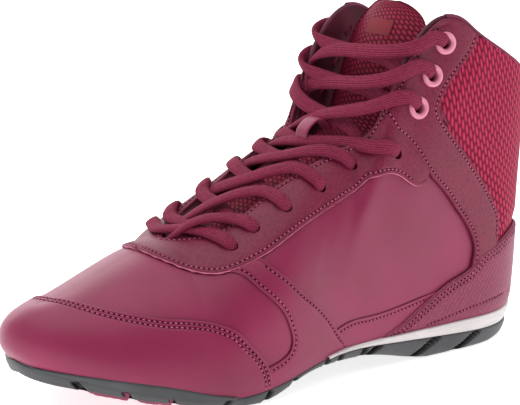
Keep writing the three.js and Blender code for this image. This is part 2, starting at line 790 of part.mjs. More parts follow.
function eyestayRegion() {
  return region([
    seam(EYESTAY_SEAM, INSTEP_HEIGHT),
    corners(EYESTAY_CORNERS, INSTEP_HEIGHT),
  ], -FAR, FAR);
}

// Eyelets, their holes and rings

const HOLE_SIDES = 6;
const RING_SIDES = 8;
const PIN_LENGTH = 6 * UPPER_WALL;

// Frame at an eyelet: origin on the upper, z out of the surface
function eyeletMatrix(eyelet, side, distance) {
  const station = turn(eyelet.at);
  const origin = upperOffset(station, eyelet.up, side, distance);
  const normal = upperNormal(station, eyelet.up, side);
  const spin = new THREE.Quaternion().setFromUnitVectors(new THREE.Vector3(0, 0, 1), normal);
  return new THREE.Matrix4().compose(origin, spin, new THREE.Vector3(1, 1, 1));
}

function holePins() {
  const pins = [];
  for (const side of SIDES) {
    for (const eyelet of EYELETS) {
      const bore = eyelet.ring ? RING_BORE + 2 * (RING_BARREL + GAP) : LACE_HOLE;
      const radius = bore / 2 / Math.cos(Math.PI / HOLE_SIDES);
      const pin = new THREE.CylinderGeometry(radius, radius, PIN_LENGTH, HOLE_SIDES);
      pin.rotateX(Math.PI / 2);
      pins.push(fromGeometry(pin, eyeletMatrix(eyelet, side, 0)));
    }
  }
  return pins;
}

function ringSolidAt(eyelet, side) {
  const bore = RING_BORE / 2;
  const rim = RING_OUTER / 2;
  const barrel = bore + RING_BARREL;
  const low = -UPPER_WALL - OVERLAY_WALL;
  const flange = RING_FLANGE.map((row) => (
    new THREE.Vector2(bore + (rim - bore) * row.out, RING_HEIGHT * row.up)));
  const foot = new THREE.Vector2(bore, low);
  const profile = [foot, new THREE.Vector2(barrel, low), new THREE.Vector2(barrel, 0), ...flange, foot];
  const lathe = new THREE.LatheGeometry(profile, RING_SIDES);
  lathe.rotateX(Math.PI / 2);
  const seat = GAP + OVERLAY_WALL + RING_SEAT;
  return fromGeometry(lathe, eyeletMatrix(eyelet, side, seat));
}

// Laces

const LACE_SIDES = 6;
const LONG_HALF = 0.03;
const LONG_STEPS = [0, 0.35, 0.7, 1];
const SHORT_STEPS = [0, 1];

// Closed tube of oval section through stations with a point and an up vector
function ovalTube(stations, width, thickness) {
  const facets = new Facets();
  const rings = stations.map((station, index) => {
    const before = stations[Math.max(0, index - 1)].point;
    const after = stations[Math.min(stations.length - 1, index + 1)].point;
    const tangent = after.clone().sub(before).normalize();
    const across = tangent.clone().cross(station.up).normalize();
    const up = across.clone().cross(tangent).normalize();
    const ring = [];
    for (let k = 0; k < LACE_SIDES; k += 1) {
      const angle = 2 * Math.PI * k / LACE_SIDES;
      ring.push(station.point.clone()
        .addScaledVector(across, Math.cos(angle) * width / 2)
        .addScaledVector(up, Math.sin(angle) * thickness / 2));
    }
    return ring;
  });
  for (let i = 0; i < rings.length - 1; i += 1) {
    for (let k = 0; k < LACE_SIDES; k += 1) {
      const n = (k + 1) % LACE_SIDES;
      facets.quad(rings[i][k], rings[i][n], rings[i + 1][n], rings[i + 1][k]);
    }
  }
  const first = rings[0];
  const last = rings.at(-1);
  for (let k = 1; k < LACE_SIDES - 1; k += 1) {
    facets.triangle(first[0], first[k + 1], first[k]);
    facets.triangle(last[0], last[k], last[k + 1]);
  }
  return facets.solid();
}

// Half of a strand, from above an eyelet to the edge of the throat
function strandHalf(eyelet, side) {
  const lift = GAP + OVERLAY_WALL + LACE_THICKNESS / 2 + LACE_LIFT;
  const from = turn(eyelet.at);
  const to = turn(eyelet.edge);
  const steps = eyelet.edge - eyelet.at > LONG_HALF ? LONG_STEPS : SHORT_STEPS;
  return steps.map((share) => {
    const station = from + (to - from) * share;
    const up = eyelet.up + (1 - eyelet.up) * share;
    const overRing = eyelet.ring ? RING_HEIGHT * (1 + share) : 0;
    return {
      point: upperOffset(station, up, side, lift + overRing),
      up: upperNormal(station, up, side),
    };
  });
}

// Where a strand passes over the middle of the tongue
function strandMiddle(first, firstSide, second, secondSide) {
  const start = strandHalf(first, firstSide).at(-1);
  const finish = strandHalf(second, secondSide).at(-1);
  const up = start.up.clone().add(finish.up).normalize();
  const point = start.point.clone().add(finish.point).multiplyScalar(0.5);
  return { point: point.addScaledVector(up, LACE_LIFT), up };
}

function strand(first, firstSide, second, secondSide) {
  const start = strandHalf(first, firstSide);
  const finish = strandHalf(second, secondSide).reverse();
  const middle = strandMiddle(first, firstSide, second, secondSide);
  return ovalTube([...start, middle, ...finish], LACE_WIDTH, LACE_THICKNESS);
}

function laces() {
  let joined = strand(EYELETS[0], OUTER, EYELETS[0], INNER);
  for (let row = 1; row < EYELETS.length; row += 1) {
    for (const side of SIDES) {
      joined = joined.add(strand(EYELETS[row], side, EYELETS[row - 1], -side));
    }
  }
  return joined;
}

// Tongue and its lace keeper

const TONGUE_STEPS = 13;
const TONGUE_ACROSS = 6;

function tongueColumns() {
  const knots = TONGUE.map((row, index) => index / (TONGUE.length - 1));
  const made = {};
  for (const name of Object.keys(TONGUE[0])) made[name] = spline(knots, TONGUE.map((row) => row[name]));
  return made;
}

const tongueColumn = tongueColumns();

// Point of the tongue's face: share along it and share across, -1 to 1
function tonguePoint(share, across, depth) {
  const at = (t) => (
    new THREE.Vector2(tongueColumn.along(t) * SOLE_LENGTH, tongueColumn.up(t) * INSTEP_HEIGHT));
  const here = at(share);
  const step = 0.002;
  const slope = at(Math.min(1, share + step)).sub(at(Math.max(0, share - step))).normalize();
  const out = new THREE.Vector2(slope.y, -slope.x);
  const drop = TONGUE_DOME * across * across + depth;
  const half = tongueColumn.half(share) * COLLAR_WIDTH;
  const y = tongueColumn.middle(share) * BALL_WIDTH + across * half;
  return place(here.x - out.x * drop, y, here.y - out.y * drop);
}

// The tongue, or the space that it keeps free when it is grown
function tongue(grown = 0) {
  const facets = new Facets();
  const face = (i, j) => tonguePoint(i / TONGUE_STEPS, 2 * j / TONGUE_ACROSS - 1, -grown);
  const back = (i, j) => {
    const across = 2 * j / TONGUE_ACROSS - 1;
    const thick = tongueColumn.thick(i / TONGUE_STEPS) * INSTEP_HEIGHT;
    return tonguePoint(i / TONGUE_STEPS, across, thick * (1 - TONGUE_THINNING * across ** 4) + grown);
  };
  const far = TONGUE_ACROSS;
  const end = TONGUE_STEPS;
  for (let i = 0; i < end; i += 1) {
    for (let j = 0; j < far; j += 1) {
      facets.quad(face(i, j), face(i + 1, j), face(i + 1, j + 1), face(i, j + 1));
      facets.quad(back(i, j), back(i, j + 1), back(i + 1, j + 1), back(i + 1, j));
    }
    facets.quad(face(i, 0), back(i, 0), back(i + 1, 0), face(i + 1, 0));
    facets.quad(face(i, far), face(i + 1, far), back(i + 1, far), back(i, far));
  }
  for (let j = 0; j < far; j += 1) {
    facets.quad(face(0, j), face(0, j + 1), back(0, j + 1), back(0, j));
    facets.quad(face(end, j), back(end, j), back(end, j + 1), face(end, j + 1));
  }
  return facets.solid();
}

const SEAT_TRIES = 200;

// Leather bridge on the tongue that the lace crossing of one row runs under
function keeper() {
  const [row, rowBelow] = [EYELETS[KEEPER_ROW], EYELETS[KEEPER_ROW - 1]];
  const crossing = strandMiddle(row, OUTER, rowBelow, INNER);
  crossing.point.add(strandMiddle(row, INNER, rowBelow, OUTER).point).multiplyScalar(0.5);
  let seat = tonguePoint(0, 0, 0);
  let step = seat;
  for (let i = 1; i <= SEAT_TRIES; i += 1) {
    const candidate = tonguePoint(i / SEAT_TRIES, 0, 0);
    if (candidate.distanceTo(crossing.point) < seat.distanceTo(crossing.point)) {
      step = tonguePoint((i - 1) / SEAT_TRIES, 0, 0);
      seat = candidate;
    }
  }
  const along = seat.clone().sub(step).normalize();
  const across = new THREE.Vector3(0, 1, 0);
  const up = along.clone().cross(across).normalize();
  if (up.z < 0) up.negate();
  const clear = crossing.point.clone().sub(seat).dot(up) + LACE_THICKNESS / 2 + KEEPER_CLEARANCE;
  const half = KEEPER_LENGTH / 2;
  const top = half - KEEPER_DRAFT;
  const roof = clear + KEEPER_WALL;
  const arch = new THREE.Shape();
  arch.moveTo(-half, -KEEPER_LEG);
  arch.lineTo(-top, roof - KEEPER_ROUND);
  arch.quadraticCurveTo(-top, roof, KEEPER_ROUND - top, roof);
  arch.lineTo(top - KEEPER_ROUND, roof);
  arch.quadraticCurveTo(top, roof, top, roof - KEEPER_ROUND);
  arch.lineTo(half, -KEEPER_LEG);
  arch.lineTo(half - KEEPER_WALL, -KEEPER_LEG);
  arch.lineTo(top - KEEPER_WALL, clear);
  arch.lineTo(KEEPER_WALL - top, clear);
  arch.lineTo(KEEPER_WALL - half, -KEEPER_LEG);
  arch.closePath();
  const band = new THREE.ExtrudeGeometry(arch, {
    depth: KEEPER_WIDTH, bevelEnabled: false, curveSegments: 3,
  });
  band.translate(0, 0, -KEEPER_WIDTH / 2);
  const turned = new THREE.Matrix4().makeBasis(along, up, along.clone().cross(up));
  turned.setPosition(seat.clone().addScaledVector(along, KEEPER_SHIFT));
  return fromGeometry(band, turned).subtract(tongue(GAP));
}

// Sole layers

function undersideHeight(station) {
  return Math.max(0, underArch(station)) * ARCH_RISE
    + Math.max(0, underBevel(station)) * HEEL_BEVEL
    + Math.max(0, underToe(station)) * TOE_RISE;
}

function soleTop(station) {
  return featherHeight(station) - GAP;
}

function midsoleUnderside(station) {
  const fromHeel = SOLE_LENGTH * (1 - Math.cos(Math.PI * station)) / 2;
  const share = Math.min(1, fromHeel / MIDSOLE_LENGTH);
  const thickness = MIDSOLE_HEEL + (MIDSOLE_TIP - MIDSOLE_HEEL) * share ** MIDSOLE_FALL;
  return soleTop(station) - thickness;
}

function outsoleTop(station) {
  if (station > turn(MIDSOLE_LENGTH / SOLE_LENGTH)) return soleTop(station);
  return midsoleUnderside(station) - GAP;
}

function stationsBetween(from, to, count) {
  const stations = [];
  for (let i = 0; i <= count; i += 1) {
    stations.push(turn(from) + (turn(to) - turn(from)) * i / count);
  }
  return stations;
}

const MIDSOLE_STEPS = 16;
const INSOLE_STEPS = 24;
const INSOLE_TIP = 0.0005;

function midsole() {
  const bulge = (station) => SOLE_MARGIN - SOLE_BULGE * Math.sin(Math.PI * station);
  return ringSolid(stationsBetween(0, MIDSOLE_LENGTH / SOLE_LENGTH, MIDSOLE_STEPS), [
    { inset: () => SOLE_MARGIN, height: soleTop },
    { inset: bulge, height: (u) => (soleTop(u) + midsoleUnderside(u)) / 2 },
    { inset: () => SOLE_MARGIN, height: midsoleUnderside },
  ]);
}

function insole() {
  const inset = UPPER_WALL + INSOLE_CLEARANCE;
  return ringSolid(stationsBetween(INSOLE_TIP, 1 - INSOLE_TIP, INSOLE_STEPS), [
    { inset: () => inset, height: (u) => featherHeight(u) + INSOLE_THICKNESS },
    { inset: () => inset, height: featherHeight },
  ]);
}

// Slanted cut through the outsole's edge on one side
function grooveTool(groove, side) {
  const station = turn(groove.at);
  const edge = edgePoint(station, side);
  const low = undersideHeight(station);
  const high = outsoleTop(station);
  const reach = groove.long ? high - low - GROOVE_MARGIN : (high - low) * GROOVE_SHORT;
  const slant = THREE.MathUtils.degToRad(groove.slant);
  const length = 2 * reach / Math.cos(slant);
  const box = new THREE.BoxGeometry(GROOVE_WIDTH, 2 * GROOVE_DEPTH, length);
  box.rotateY(slant);
  const outward = edgeOutward(station, side);
  const matrix = new THREE.Matrix4().makeRotationZ(Math.atan2(-outward.along, outward.across));
  matrix.setPosition(place(edge.fromHeel, edge.y, low));
  return fromGeometry(box, matrix);
}

const PAD_END = SOLE_LENGTH - PAD_TOE_MARGIN;
const PAD_START = PAD_END - PAD_COUNT * PAD_PITCH;

// Height of the black rubber's underside, raised where tread pads sit
function blackUnderside(station) {
  const padded = station > turn(PAD_START / SOLE_LENGTH) - 1e-6;
  const end = turn(PAD_END / SOLE_LENGTH);
  return undersideHeight(station) + (padded && station < end ? PAD_DROP : 0);
}

const RIM_STEPS = 8;
const PAD_STEPS = 3;
const TOE_STEPS = 6;
const STATION_STEP = 0.003;

function outsole() {
  const start = PAD_START / SOLE_LENGTH;
  const end = PAD_END / SOLE_LENGTH;
  const tip = MIDSOLE_LENGTH / SOLE_LENGTH;
  const stations = [
    ...stationsBetween(0, tip, MIDSOLE_STEPS),
    ...stationsBetween(tip + STATION_STEP / 2, start - STATION_STEP, RIM_STEPS),
    ...stationsBetween(start, end - STATION_STEP, PAD_STEPS * PAD_COUNT),
    ...stationsBetween(end, 1, TOE_STEPS),
  ];
  const level = (u) => outsoleTop(u) * BULGE_LEVEL + blackUnderside(u) * (1 - BULGE_LEVEL);
  const taper = (u) => SOLE_TAPER * Math.min(1, (outsoleTop(u) - undersideHeight(u)) / TAPER_DEPTH);
  let solid = ringSolid(stations, [
    { inset: () => SOLE_MARGIN, height: outsoleTop },
    { inset: () => SOLE_MARGIN - SOLE_BULGE, height: level },
    { inset: taper, height: blackUnderside },
  ]);
  for (const groove of GROOVES) {
    for (const side of SIDES) solid = solid.subtract(grooveTool(groove, side));
  }
  return solid;
}

// Textured pads under the toes, a little inside the black edge
function treadPad(index) {
  const from = PAD_START + PAD_LEAD + index * PAD_PITCH;
  const stations = stationsBetween(from / SOLE_LENGTH, (from + PAD_LENGTH) / SOLE_LENGTH, PAD_STEPS);
  const inset = SOLE_TAPER + PAD_INSET;
  return ringSolid(stations, [
    { inset: () => inset, height: (u) => undersideHeight(u) + PAD_DROP - PAD_GAP },
    { inset: () => inset + PAD_BEVEL, height: undersideHeight },
  ]);
}

// Assembly

const pins = holePins();
const pierced = (solid) => pins.reduce((left, pin) => left.subtract(pin), solid);
const overlay = upperShell(GAP, GAP + OVERLAY_WALL);

addPiece('upper', pierced(upperShell(-UPPER_WALL, 0)), 'leather');
addPiece('toe_cap', overlay.intersect(toeCapRegion()), 'leather');
addPiece('heel_counter', overlay.intersect(counterRegion()), 'grain');
const stays = pierced(overlay).subtract(counterRegion(SEAM_GAP));
addPiece('shaft_stay_outer', stays.intersect(stayRegion(OUTER)), 'grain');
addPiece('shaft_stay_inner', stays.intersect(stayRegion(INNER)), 'grain');
addPiece('eyestay', pierced(overlay).intersect(eyestayRegion())
  .subtract(stayRegion(OUTER, SEAM_GAP)).subtract(stayRegion(INNER, SEAM_GAP)), 'grain');
const bands = overlay.subtract(counterRegion(SEAM_GAP));
addPiece('side_band_outer', bands.intersect(bandRegion(OUTER)), 'grain');
addPiece('side_band_inner', bands.intersect(bandRegion(INNER)), 'grain');

EYELETS.filter((eyelet) => eyelet.ring).forEach((eyelet, index) => {
  addPiece(`eyelet_ring_outer_${index + 1}`, ringSolidAt(eyelet, OUTER), 'ring');
  addPiece(`eyelet_ring_inner_${index + 1}`, ringSolidAt(eyelet, INNER), 'ring');
});

const vampSpace = upperShell(-UPPER_WALL - 2 * GAP, 2 * UPPER_WALL);
addPiece('tongue', tongue().subtract(vampSpace), 'mesh');
addPiece('lace_keeper', keeper(), 'leather');
addPiece('laces', laces(), 'lace');

addPiece('insole', insole(), 'lining');
addPiece('midsole', midsole(), 'white');
addPiece('outsole', outsole(), 'rubber');
for (let index = 0; index < PAD_COUNT; index += 1) {
  addPiece(`tread_pad_${index + 1}`, treadPad(index), 'tread');
}

export default shoe;
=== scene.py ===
"""Left boxing shoe in wine-red leather and mesh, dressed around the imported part's fixed frame.

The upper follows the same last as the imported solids: ribs run from the sole's edge up to the
collar, the throat or the ridge of the vamp. A place on it is a share of the sole's length at the
foot of a rib, and a share up that rib, so every panel, seam, eyelet and stitch sits on the form.
"""
from __future__ import annotations

import logging
import math
from dataclasses import dataclass, field
from enum import IntEnum
from typing import Callable, Iterable, Sequence

import bmesh
import bpy
import numpy as np
from mathutils import Matrix, Vector

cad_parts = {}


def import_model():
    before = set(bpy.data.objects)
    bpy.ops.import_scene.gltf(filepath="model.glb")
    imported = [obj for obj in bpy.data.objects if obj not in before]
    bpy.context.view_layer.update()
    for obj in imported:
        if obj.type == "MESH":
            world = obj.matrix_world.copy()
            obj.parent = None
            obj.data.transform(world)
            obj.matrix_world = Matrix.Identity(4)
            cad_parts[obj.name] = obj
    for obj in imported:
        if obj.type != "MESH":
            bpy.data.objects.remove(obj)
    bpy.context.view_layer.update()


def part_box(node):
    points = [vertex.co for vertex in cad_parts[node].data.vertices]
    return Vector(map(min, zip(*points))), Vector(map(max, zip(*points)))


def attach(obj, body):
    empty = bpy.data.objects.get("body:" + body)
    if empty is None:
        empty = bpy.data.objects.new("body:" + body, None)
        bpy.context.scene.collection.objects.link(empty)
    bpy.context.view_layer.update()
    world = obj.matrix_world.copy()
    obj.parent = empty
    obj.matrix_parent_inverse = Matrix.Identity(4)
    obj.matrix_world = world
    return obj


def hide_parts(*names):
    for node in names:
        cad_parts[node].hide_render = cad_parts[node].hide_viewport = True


LOG = logging.getLogger("boxing_shoe")
MM = 0.001
BODY = "root"
FRAME_WIDTH_PX, FRAME_HEIGHT_PX = 520.0, 405.0


class Side(IntEnum):
    """Side of the foot: the outer one faces the camera."""

    OUTER = -1
    INNER = 1


# ---- Curves ----


def natural_spline(knots: Sequence[float], values: Sequence[float]) -> Callable[[np.ndarray], np.ndarray]:
    """Natural cubic spline.

    Args:
        knots: rising places.
        values: a value, or a row of values, at each knot.
    Returns:
        A function of an array of places.
    """
    x = np.asarray(knots, float)
    y = np.asarray(values, float)
    n = len(x)
    h = np.diff(x)
    system = np.zeros((n, n))
    system[0, 0] = system[-1, -1] = 1.0
    right = np.zeros_like(y)
    for i in range(1, n - 1):
        system[i, i - 1], system[i, i], system[i, i + 1] = h[i - 1], 2 * (h[i - 1] + h[i]), h[i]
        right[i] = 6 * ((y[i + 1] - y[i]) / h[i] - (y[i] - y[i - 1]) / h[i - 1])
    moments = np.linalg.solve(system, right)

    def at(place: np.ndarray) -> np.ndarray:
        """Value of the spline at each place."""
        t = np.asarray(place, float)
        i = np.clip(np.searchsorted(x, t, side="right") - 1, 0, n - 2)
        a, b = (x[i + 1] - t) / h[i], (t - x[i]) / h[i]
        square = h[i] ** 2 / 6
        if y.ndim > 1:
            a, b, square = a[..., None], b[..., None], square[..., None]
        bend = ((a**3 - a) * moments[i] + (b**3 - b) * moments[i + 1]) * square
        return a * y[i] + b * y[i + 1] + bend

    return at


def unit(vectors: np.ndarray) -> np.ndarray:
    """Vectors scaled to length one."""
    return vectors / (np.linalg.norm(vectors, axis=-1, keepdims=True) + 1e-12)


def arc_lengths(points: np.ndarray) -> np.ndarray:
    """Length along a polyline at each of its points."""
    steps = np.linalg.norm(np.diff(points, axis=0), axis=1)
    return np.concatenate([[0.0], np.cumsum(steps)])


def row_lengths(points: np.ndarray) -> np.ndarray:
    """Length along each row of a grid at each of its points."""
    steps = np.linalg.norm(np.diff(points, axis=1), axis=2)
    return np.concatenate([np.zeros((len(points), 1)), np.cumsum(steps, 1)], 1)


def resampled(at: np.ndarray, knots: np.ndarray, rows: np.ndarray) -> np.ndarray:
    """Rows of values read off at places between knots."""
    return np.stack([np.interp(at, knots, rows[:, k]) for k in range(rows.shape[1])], -1)


def near_distance(points: np.ndarray, targets: np.ndarray) -> np.ndarray:
    """Distance from each point to the nearest of some target points.

    Args:
        points: array (..., 3).
        targets: array (n, 3).
    Returns:
        Array of distances, in metres.
    """
    flat = points.reshape(-1, 3)
    found = np.empty(len(flat))
    for start in range(0, len(flat), 2000):
        part = flat[start:start + 2000]
        gap = part[:, None, :] - targets[None, :, :]
        found[start:start + 2000] = np.sqrt((gap**2).sum(-1).min(1))
    return found.reshape(points.shape[:-1])


# ---- The last ----

# Outline of the foot: share of sole length, then middle, outer half and inner half as shares
# of the ball width
FOOT = [
    (0.00, 0.000, 0.000, 0.000),
    (0.03, 0.000, 0.190, 0.190),
    (0.12, 0.000, 0.330, 0.325),
    (0.25, 0.000, 0.360, 0.330),
    (0.40, 0.000, 0.390, 0.290),
    (0.50, 0.000, 0.430, 0.300),
    (0.62, 0.000, 0.495, 0.390),
    (0.72, 0.010, 0.490, 0.455),
    (0.80, 0.025, 0.450, 0.440),
    (0.88, 0.045, 0.380, 0.375),
    (0.95, 0.065, 0.255, 0.255),
    (1.00, 0.080, 0.000, 0.000),
]
# Line where upper and sole meet: share of sole length, share of the heel's and the toe's lift
FEATHER = [
    (0.00, 0.86, 0.00),
    (0.12, 0.86, 0.00),
    (0.25, 0.90, 0.00),
    (0.36, 0.97, 0.00),
    (0.45, 1.00, 0.00),
    (0.52, 0.82, 0.00),
    (0.60, 0.42, 0.00),
    (0.67, 0.06, 0.00),
    (0.75, 0.00, 0.00),
    (0.82, 0.00, 0.20),
    (0.90, 0.00, 0.51),
    (0.96, 0.00, 0.77),
    (1.00, 0.00, 1.00),
]
# Ribs: share of sole length at the foot, then along and middle at the top, half width, instep
# and shaft shares, rise, reach, lean in degrees, swell and skew
RIBS = [
    (0.00, 0.007, 0.000, 0.000, 1.000, 0.594, 0.42, 0.30, 96, 0.40, 0.0),
    (0.03, 0.011, 0.000, 0.162, 1.000, 0.615, 0.42, 0.30, 95, 0.40, 0.0),
    (0.10, 0.033, 0.000, 0.353, 1.000, 0.677, 0.42, 0.30, 94, 0.40, 0.0),
    (0.18, 0.085, 0.000, 0.471, 1.000, 0.760, 0.42, 0.30, 92, 0.20, 0.0),
    (0.27, 0.147, 0.000, 0.500, 1.000, 0.854, 0.42, 0.30, 90, 0.20, 0.0),
    (0.35, 0.199, 0.000, 0.493, 1.000, 0.938, 0.42, 0.30, 88, 0.20, 0.3),
    (0.40, 0.243, 0.000, 0.463, 1.000, 0.995, 0.42, 0.30, 86, 0.20, 0.7),
    (0.43, 0.283, 0.000, 0.426, 1.000, 0.969, 0.42, 0.30, 82, 0.20, 1.0),
    (0.47, 0.342, 0.000, 0.412, 1.000, 0.771, 0.42, 0.30, 74, 0.20, 0.9),
    (0.51, 0.379, 0.005, 0.368, 1.000, 0.521, 0.42, 0.30, 62, 0.20, 0.7),
    (0.56, 0.419, 0.011, 0.316, 1.000, 0.411, 0.45, 0.32, 48, 0.20, 0.3),
    (0.62, 0.496, 0.021, 0.294, 1.000, 0.323, 0.45, 0.34, 34, 0.20, 0.0),
    (0.68, 0.588, 0.043, 0.257, 1.000, 0.167, 0.45, 0.36, 22, 0.20, 0.0),
    (0.72, 0.669, 0.074, 0.206, 1.000, 0.031, 0.46, 0.38, 10, 0.25, 0.0),
    (0.745, 0.721, 0.085, 0.000, 1.000, 0.000, 0.47, 0.40, 4, 0.30, 0.0),
    (0.80, 0.765, 0.085, 0.000, 0.970, 0.000, 0.48, 0.42, 3, 0.30, 0.0),
    (0.88, 0.853, 0.069, 0.000, 0.836, 0.000, 0.52, 0.42, 3, 0.40, 0.0),
    (0.95, 0.926, 0.064, 0.000, 0.727, 0.000, 0.56, 0.43, 3, 0.70, 0.0),
    (1.00, 0.952, 0.069, 0.000, 0.688, 0.000, 0.58, 0.45, 3, 1.00, 0.0),
]


@dataclass
class Last:
    """Form of the shoe, in metres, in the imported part's frame."""

    sole_length: float = 0.272
    ball_width: float = 0.094
    heel_lift: float = 0.0143
    ball_lift: float = 0.0048
    toe_lift: float = 0.022
    instep_height: float = 0.064
    shaft_height: float = 0.160
    collar_width: float = 0.068
    shaft_skew: float = 0.010
    fullness: float = 0.010
    throat_front: float = 0.745
    THROAT_BLUR = np.linspace(-0.045, 0.045, 9)

    def __post_init__(self) -> None:
        """Makes the smooth functions of the tables."""
        self.foot = self._columns(FOOT)
        self.seam_line = self._columns(FEATHER)
        self.ribs = self._columns(RIBS)
        self.front = float(self.turn(self.throat_front))

    def _columns(self, table: Sequence[Sequence[float]]) -> list[Callable[[np.ndarray], np.ndarray]]:
        """One spline of the station for each column after the first."""
        knots = [float(self.turn(row[0])) for row in table]
        return [natural_spline(knots, [row[i] for row in table]) for i in range(1, len(table[0]))]

    @staticmethod
    def turn(share: float | np.ndarray) -> np.ndarray:
        """Station of a share of the sole's length, so that round ends stay round."""
        return np.arccos(1 - 2 * np.clip(np.asarray(share, float), 0, 1)) / np.pi

    def feather(self, u: np.ndarray) -> np.ndarray:
        """Height of the line where the upper meets the sole."""
        heel, toe = self.seam_line[0](u), self.seam_line[1](u)
        lift = heel * (self.heel_lift - self.ball_lift) + toe * (self.toe_lift - self.ball_lift)
        return self.ball_lift + lift

    def middle(self, u: np.ndarray) -> np.ndarray:
        """Sideways place of the foot's middle line."""
        return self.foot[0](u) * self.ball_width

    def edge(self, u: np.ndarray, side: int) -> tuple[np.ndarray, np.ndarray]:
        """Distance from the heel and sideways place of the sole's edge."""
        along = self.sole_length * (1 - np.cos(np.pi * u)) / 2
        half = np.maximum(self.foot[1 if side < 0 else 2](u), 0) * self.ball_width
        return along, self.middle(u) + side * half

    def outward(self, u: np.ndarray, side: int) -> tuple[np.ndarray, np.ndarray]:
        """Direction out of the foot's outline: along the foot, and sideways."""
        step = 1e-3
        s1, y1 = self.edge(np.clip(u + step, 0, 1), side)
        s0, y0 = self.edge(np.clip(u - step, 0, 1), side)
        ds, dy = s1 - s0, y1 - y0
        length = np.hypot(ds, dy) + 1e-12
        along, across = -side * dy / length, side * ds / length
        along = np.where(u <= 0, -1.0, np.where(u >= 1, 1.0, along))
        return along, np.where((u <= 0) | (u >= 1), 0.0, across)

    def point(self, u: np.ndarray, phi: np.ndarray, side: int) -> np.ndarray:
        """Place on the upper.

        Args:
            u: station along the foot, 0 at the heel and 1 at the toe.
            phi: share up the rib.
            side: -1 for the outer side, 1 for the inner one.
        Returns:
            Array (..., 3) in the frame of the part.
        """
        u, phi = np.broadcast_arrays(np.asarray(u, float), np.asarray(phi, float))
        s, y = self.edge(u, side)
        z = self.feather(u)
        out_s, out_y = self.outward(u, side)
        along, mid, half, instep, shaft, rise, reach, lean, swell, skew = [f(u) for f in self.ribs]
        open_part = u < self.front
        half = np.where(open_part, np.maximum(half, 0), 0)
        spread = [np.where(u + d < self.front, np.maximum(self.ribs[2](u + d), 0), 0) for d in self.THROAT_BLUR]
        soft = np.where(u < self.front - 0.12, half, np.mean(spread, 0))
        skew = np.where(open_part, skew, 0)
        top_s = along * self.sole_length + side * skew * self.shaft_skew / 2
        top_y = mid * self.ball_width + side * half * self.collar_width
        top_z = instep * self.instep_height + shaft * (self.shaft_height - self.instep_height)
        height = top_z - z
        below_y = mid * self.ball_width + side * soft * self.collar_width
        ds, dy = top_s - s, top_y - y
        plan = np.hypot(ds, dy) + 1e-12
        tilt = np.radians(lean)
        pull = reach * np.hypot(plan, height)
        level = np.cos(tilt) * pull / plan
        bulge = swell * self.fullness
        corners = [
            (s, y, z),
            (s + out_s * bulge, y + out_y * bulge, z + rise * height),
            (top_s - ds * level, below_y - (below_y - y) * level, top_z - np.sin(tilt) * pull),
            (top_s, top_y, top_z),
        ]
        rest = 1 - phi
        weights = [rest**3, 3 * rest * rest * phi, 3 * rest * phi * phi, phi**3]
        mixed = [sum(w * c[axis] for w, c in zip(weights, corners)) for axis in range(3)]
        return np.stack([self.sole_length / 2 - mixed[0], mixed[1], mixed[2]], -1)

    def side_normal(self, u: np.ndarray, phi: np.ndarray, side: int) -> np.ndarray:
        """Unit normal of one side of the upper, pointing out."""
        step = 1e-3
        a = self.point(np.clip(u + step, 0, 1), phi, side) - self.point(np.clip(u - step, 0, 1), phi, side)
        b = self.point(u, np.clip(phi + step, 0, 1), side) - self.point(u, np.clip(phi - step, 0, 1), side)
        return unit(np.cross(a, b) * side)

    def normal(self, u: np.ndarray, phi: np.ndarray, side: int) -> np.ndarray:
        """Unit normal that agrees where both sides meet."""
        u, phi = np.broadcast_arrays(np.asarray(u, float), np.asarray(phi, float))
        own = self.side_normal(u, phi, side)
        shared = (u <= 0) | (u >= 1) | ((phi >= 1) & (u >= self.front))
        if not shared.any():
            return own
        return np.where(shared[..., None], unit(own + self.side_normal(u, phi, -side)), own)

    def skin(self, u: np.ndarray, phi: np.ndarray, side: int, off: np.ndarray | float) -> np.ndarray:
        """Place at a distance from the upper's face."""
        lift = np.broadcast_to(np.asarray(off, float), np.broadcast(u, phi).shape)
        return self.point(u, phi, side) + self.normal(u, phi, side) * lift[..., None]


# ---- Meshes ----


@dataclass
class Grid:
    """Rows and columns of points with a flat map in metres and an optional weight of painted shade."""

    points: np.ndarray
    flat: np.ndarray
    flip: bool = False
    wrap: bool = False
    slot: np.ndarray | None = None
    shade: np.ndarray | None = None


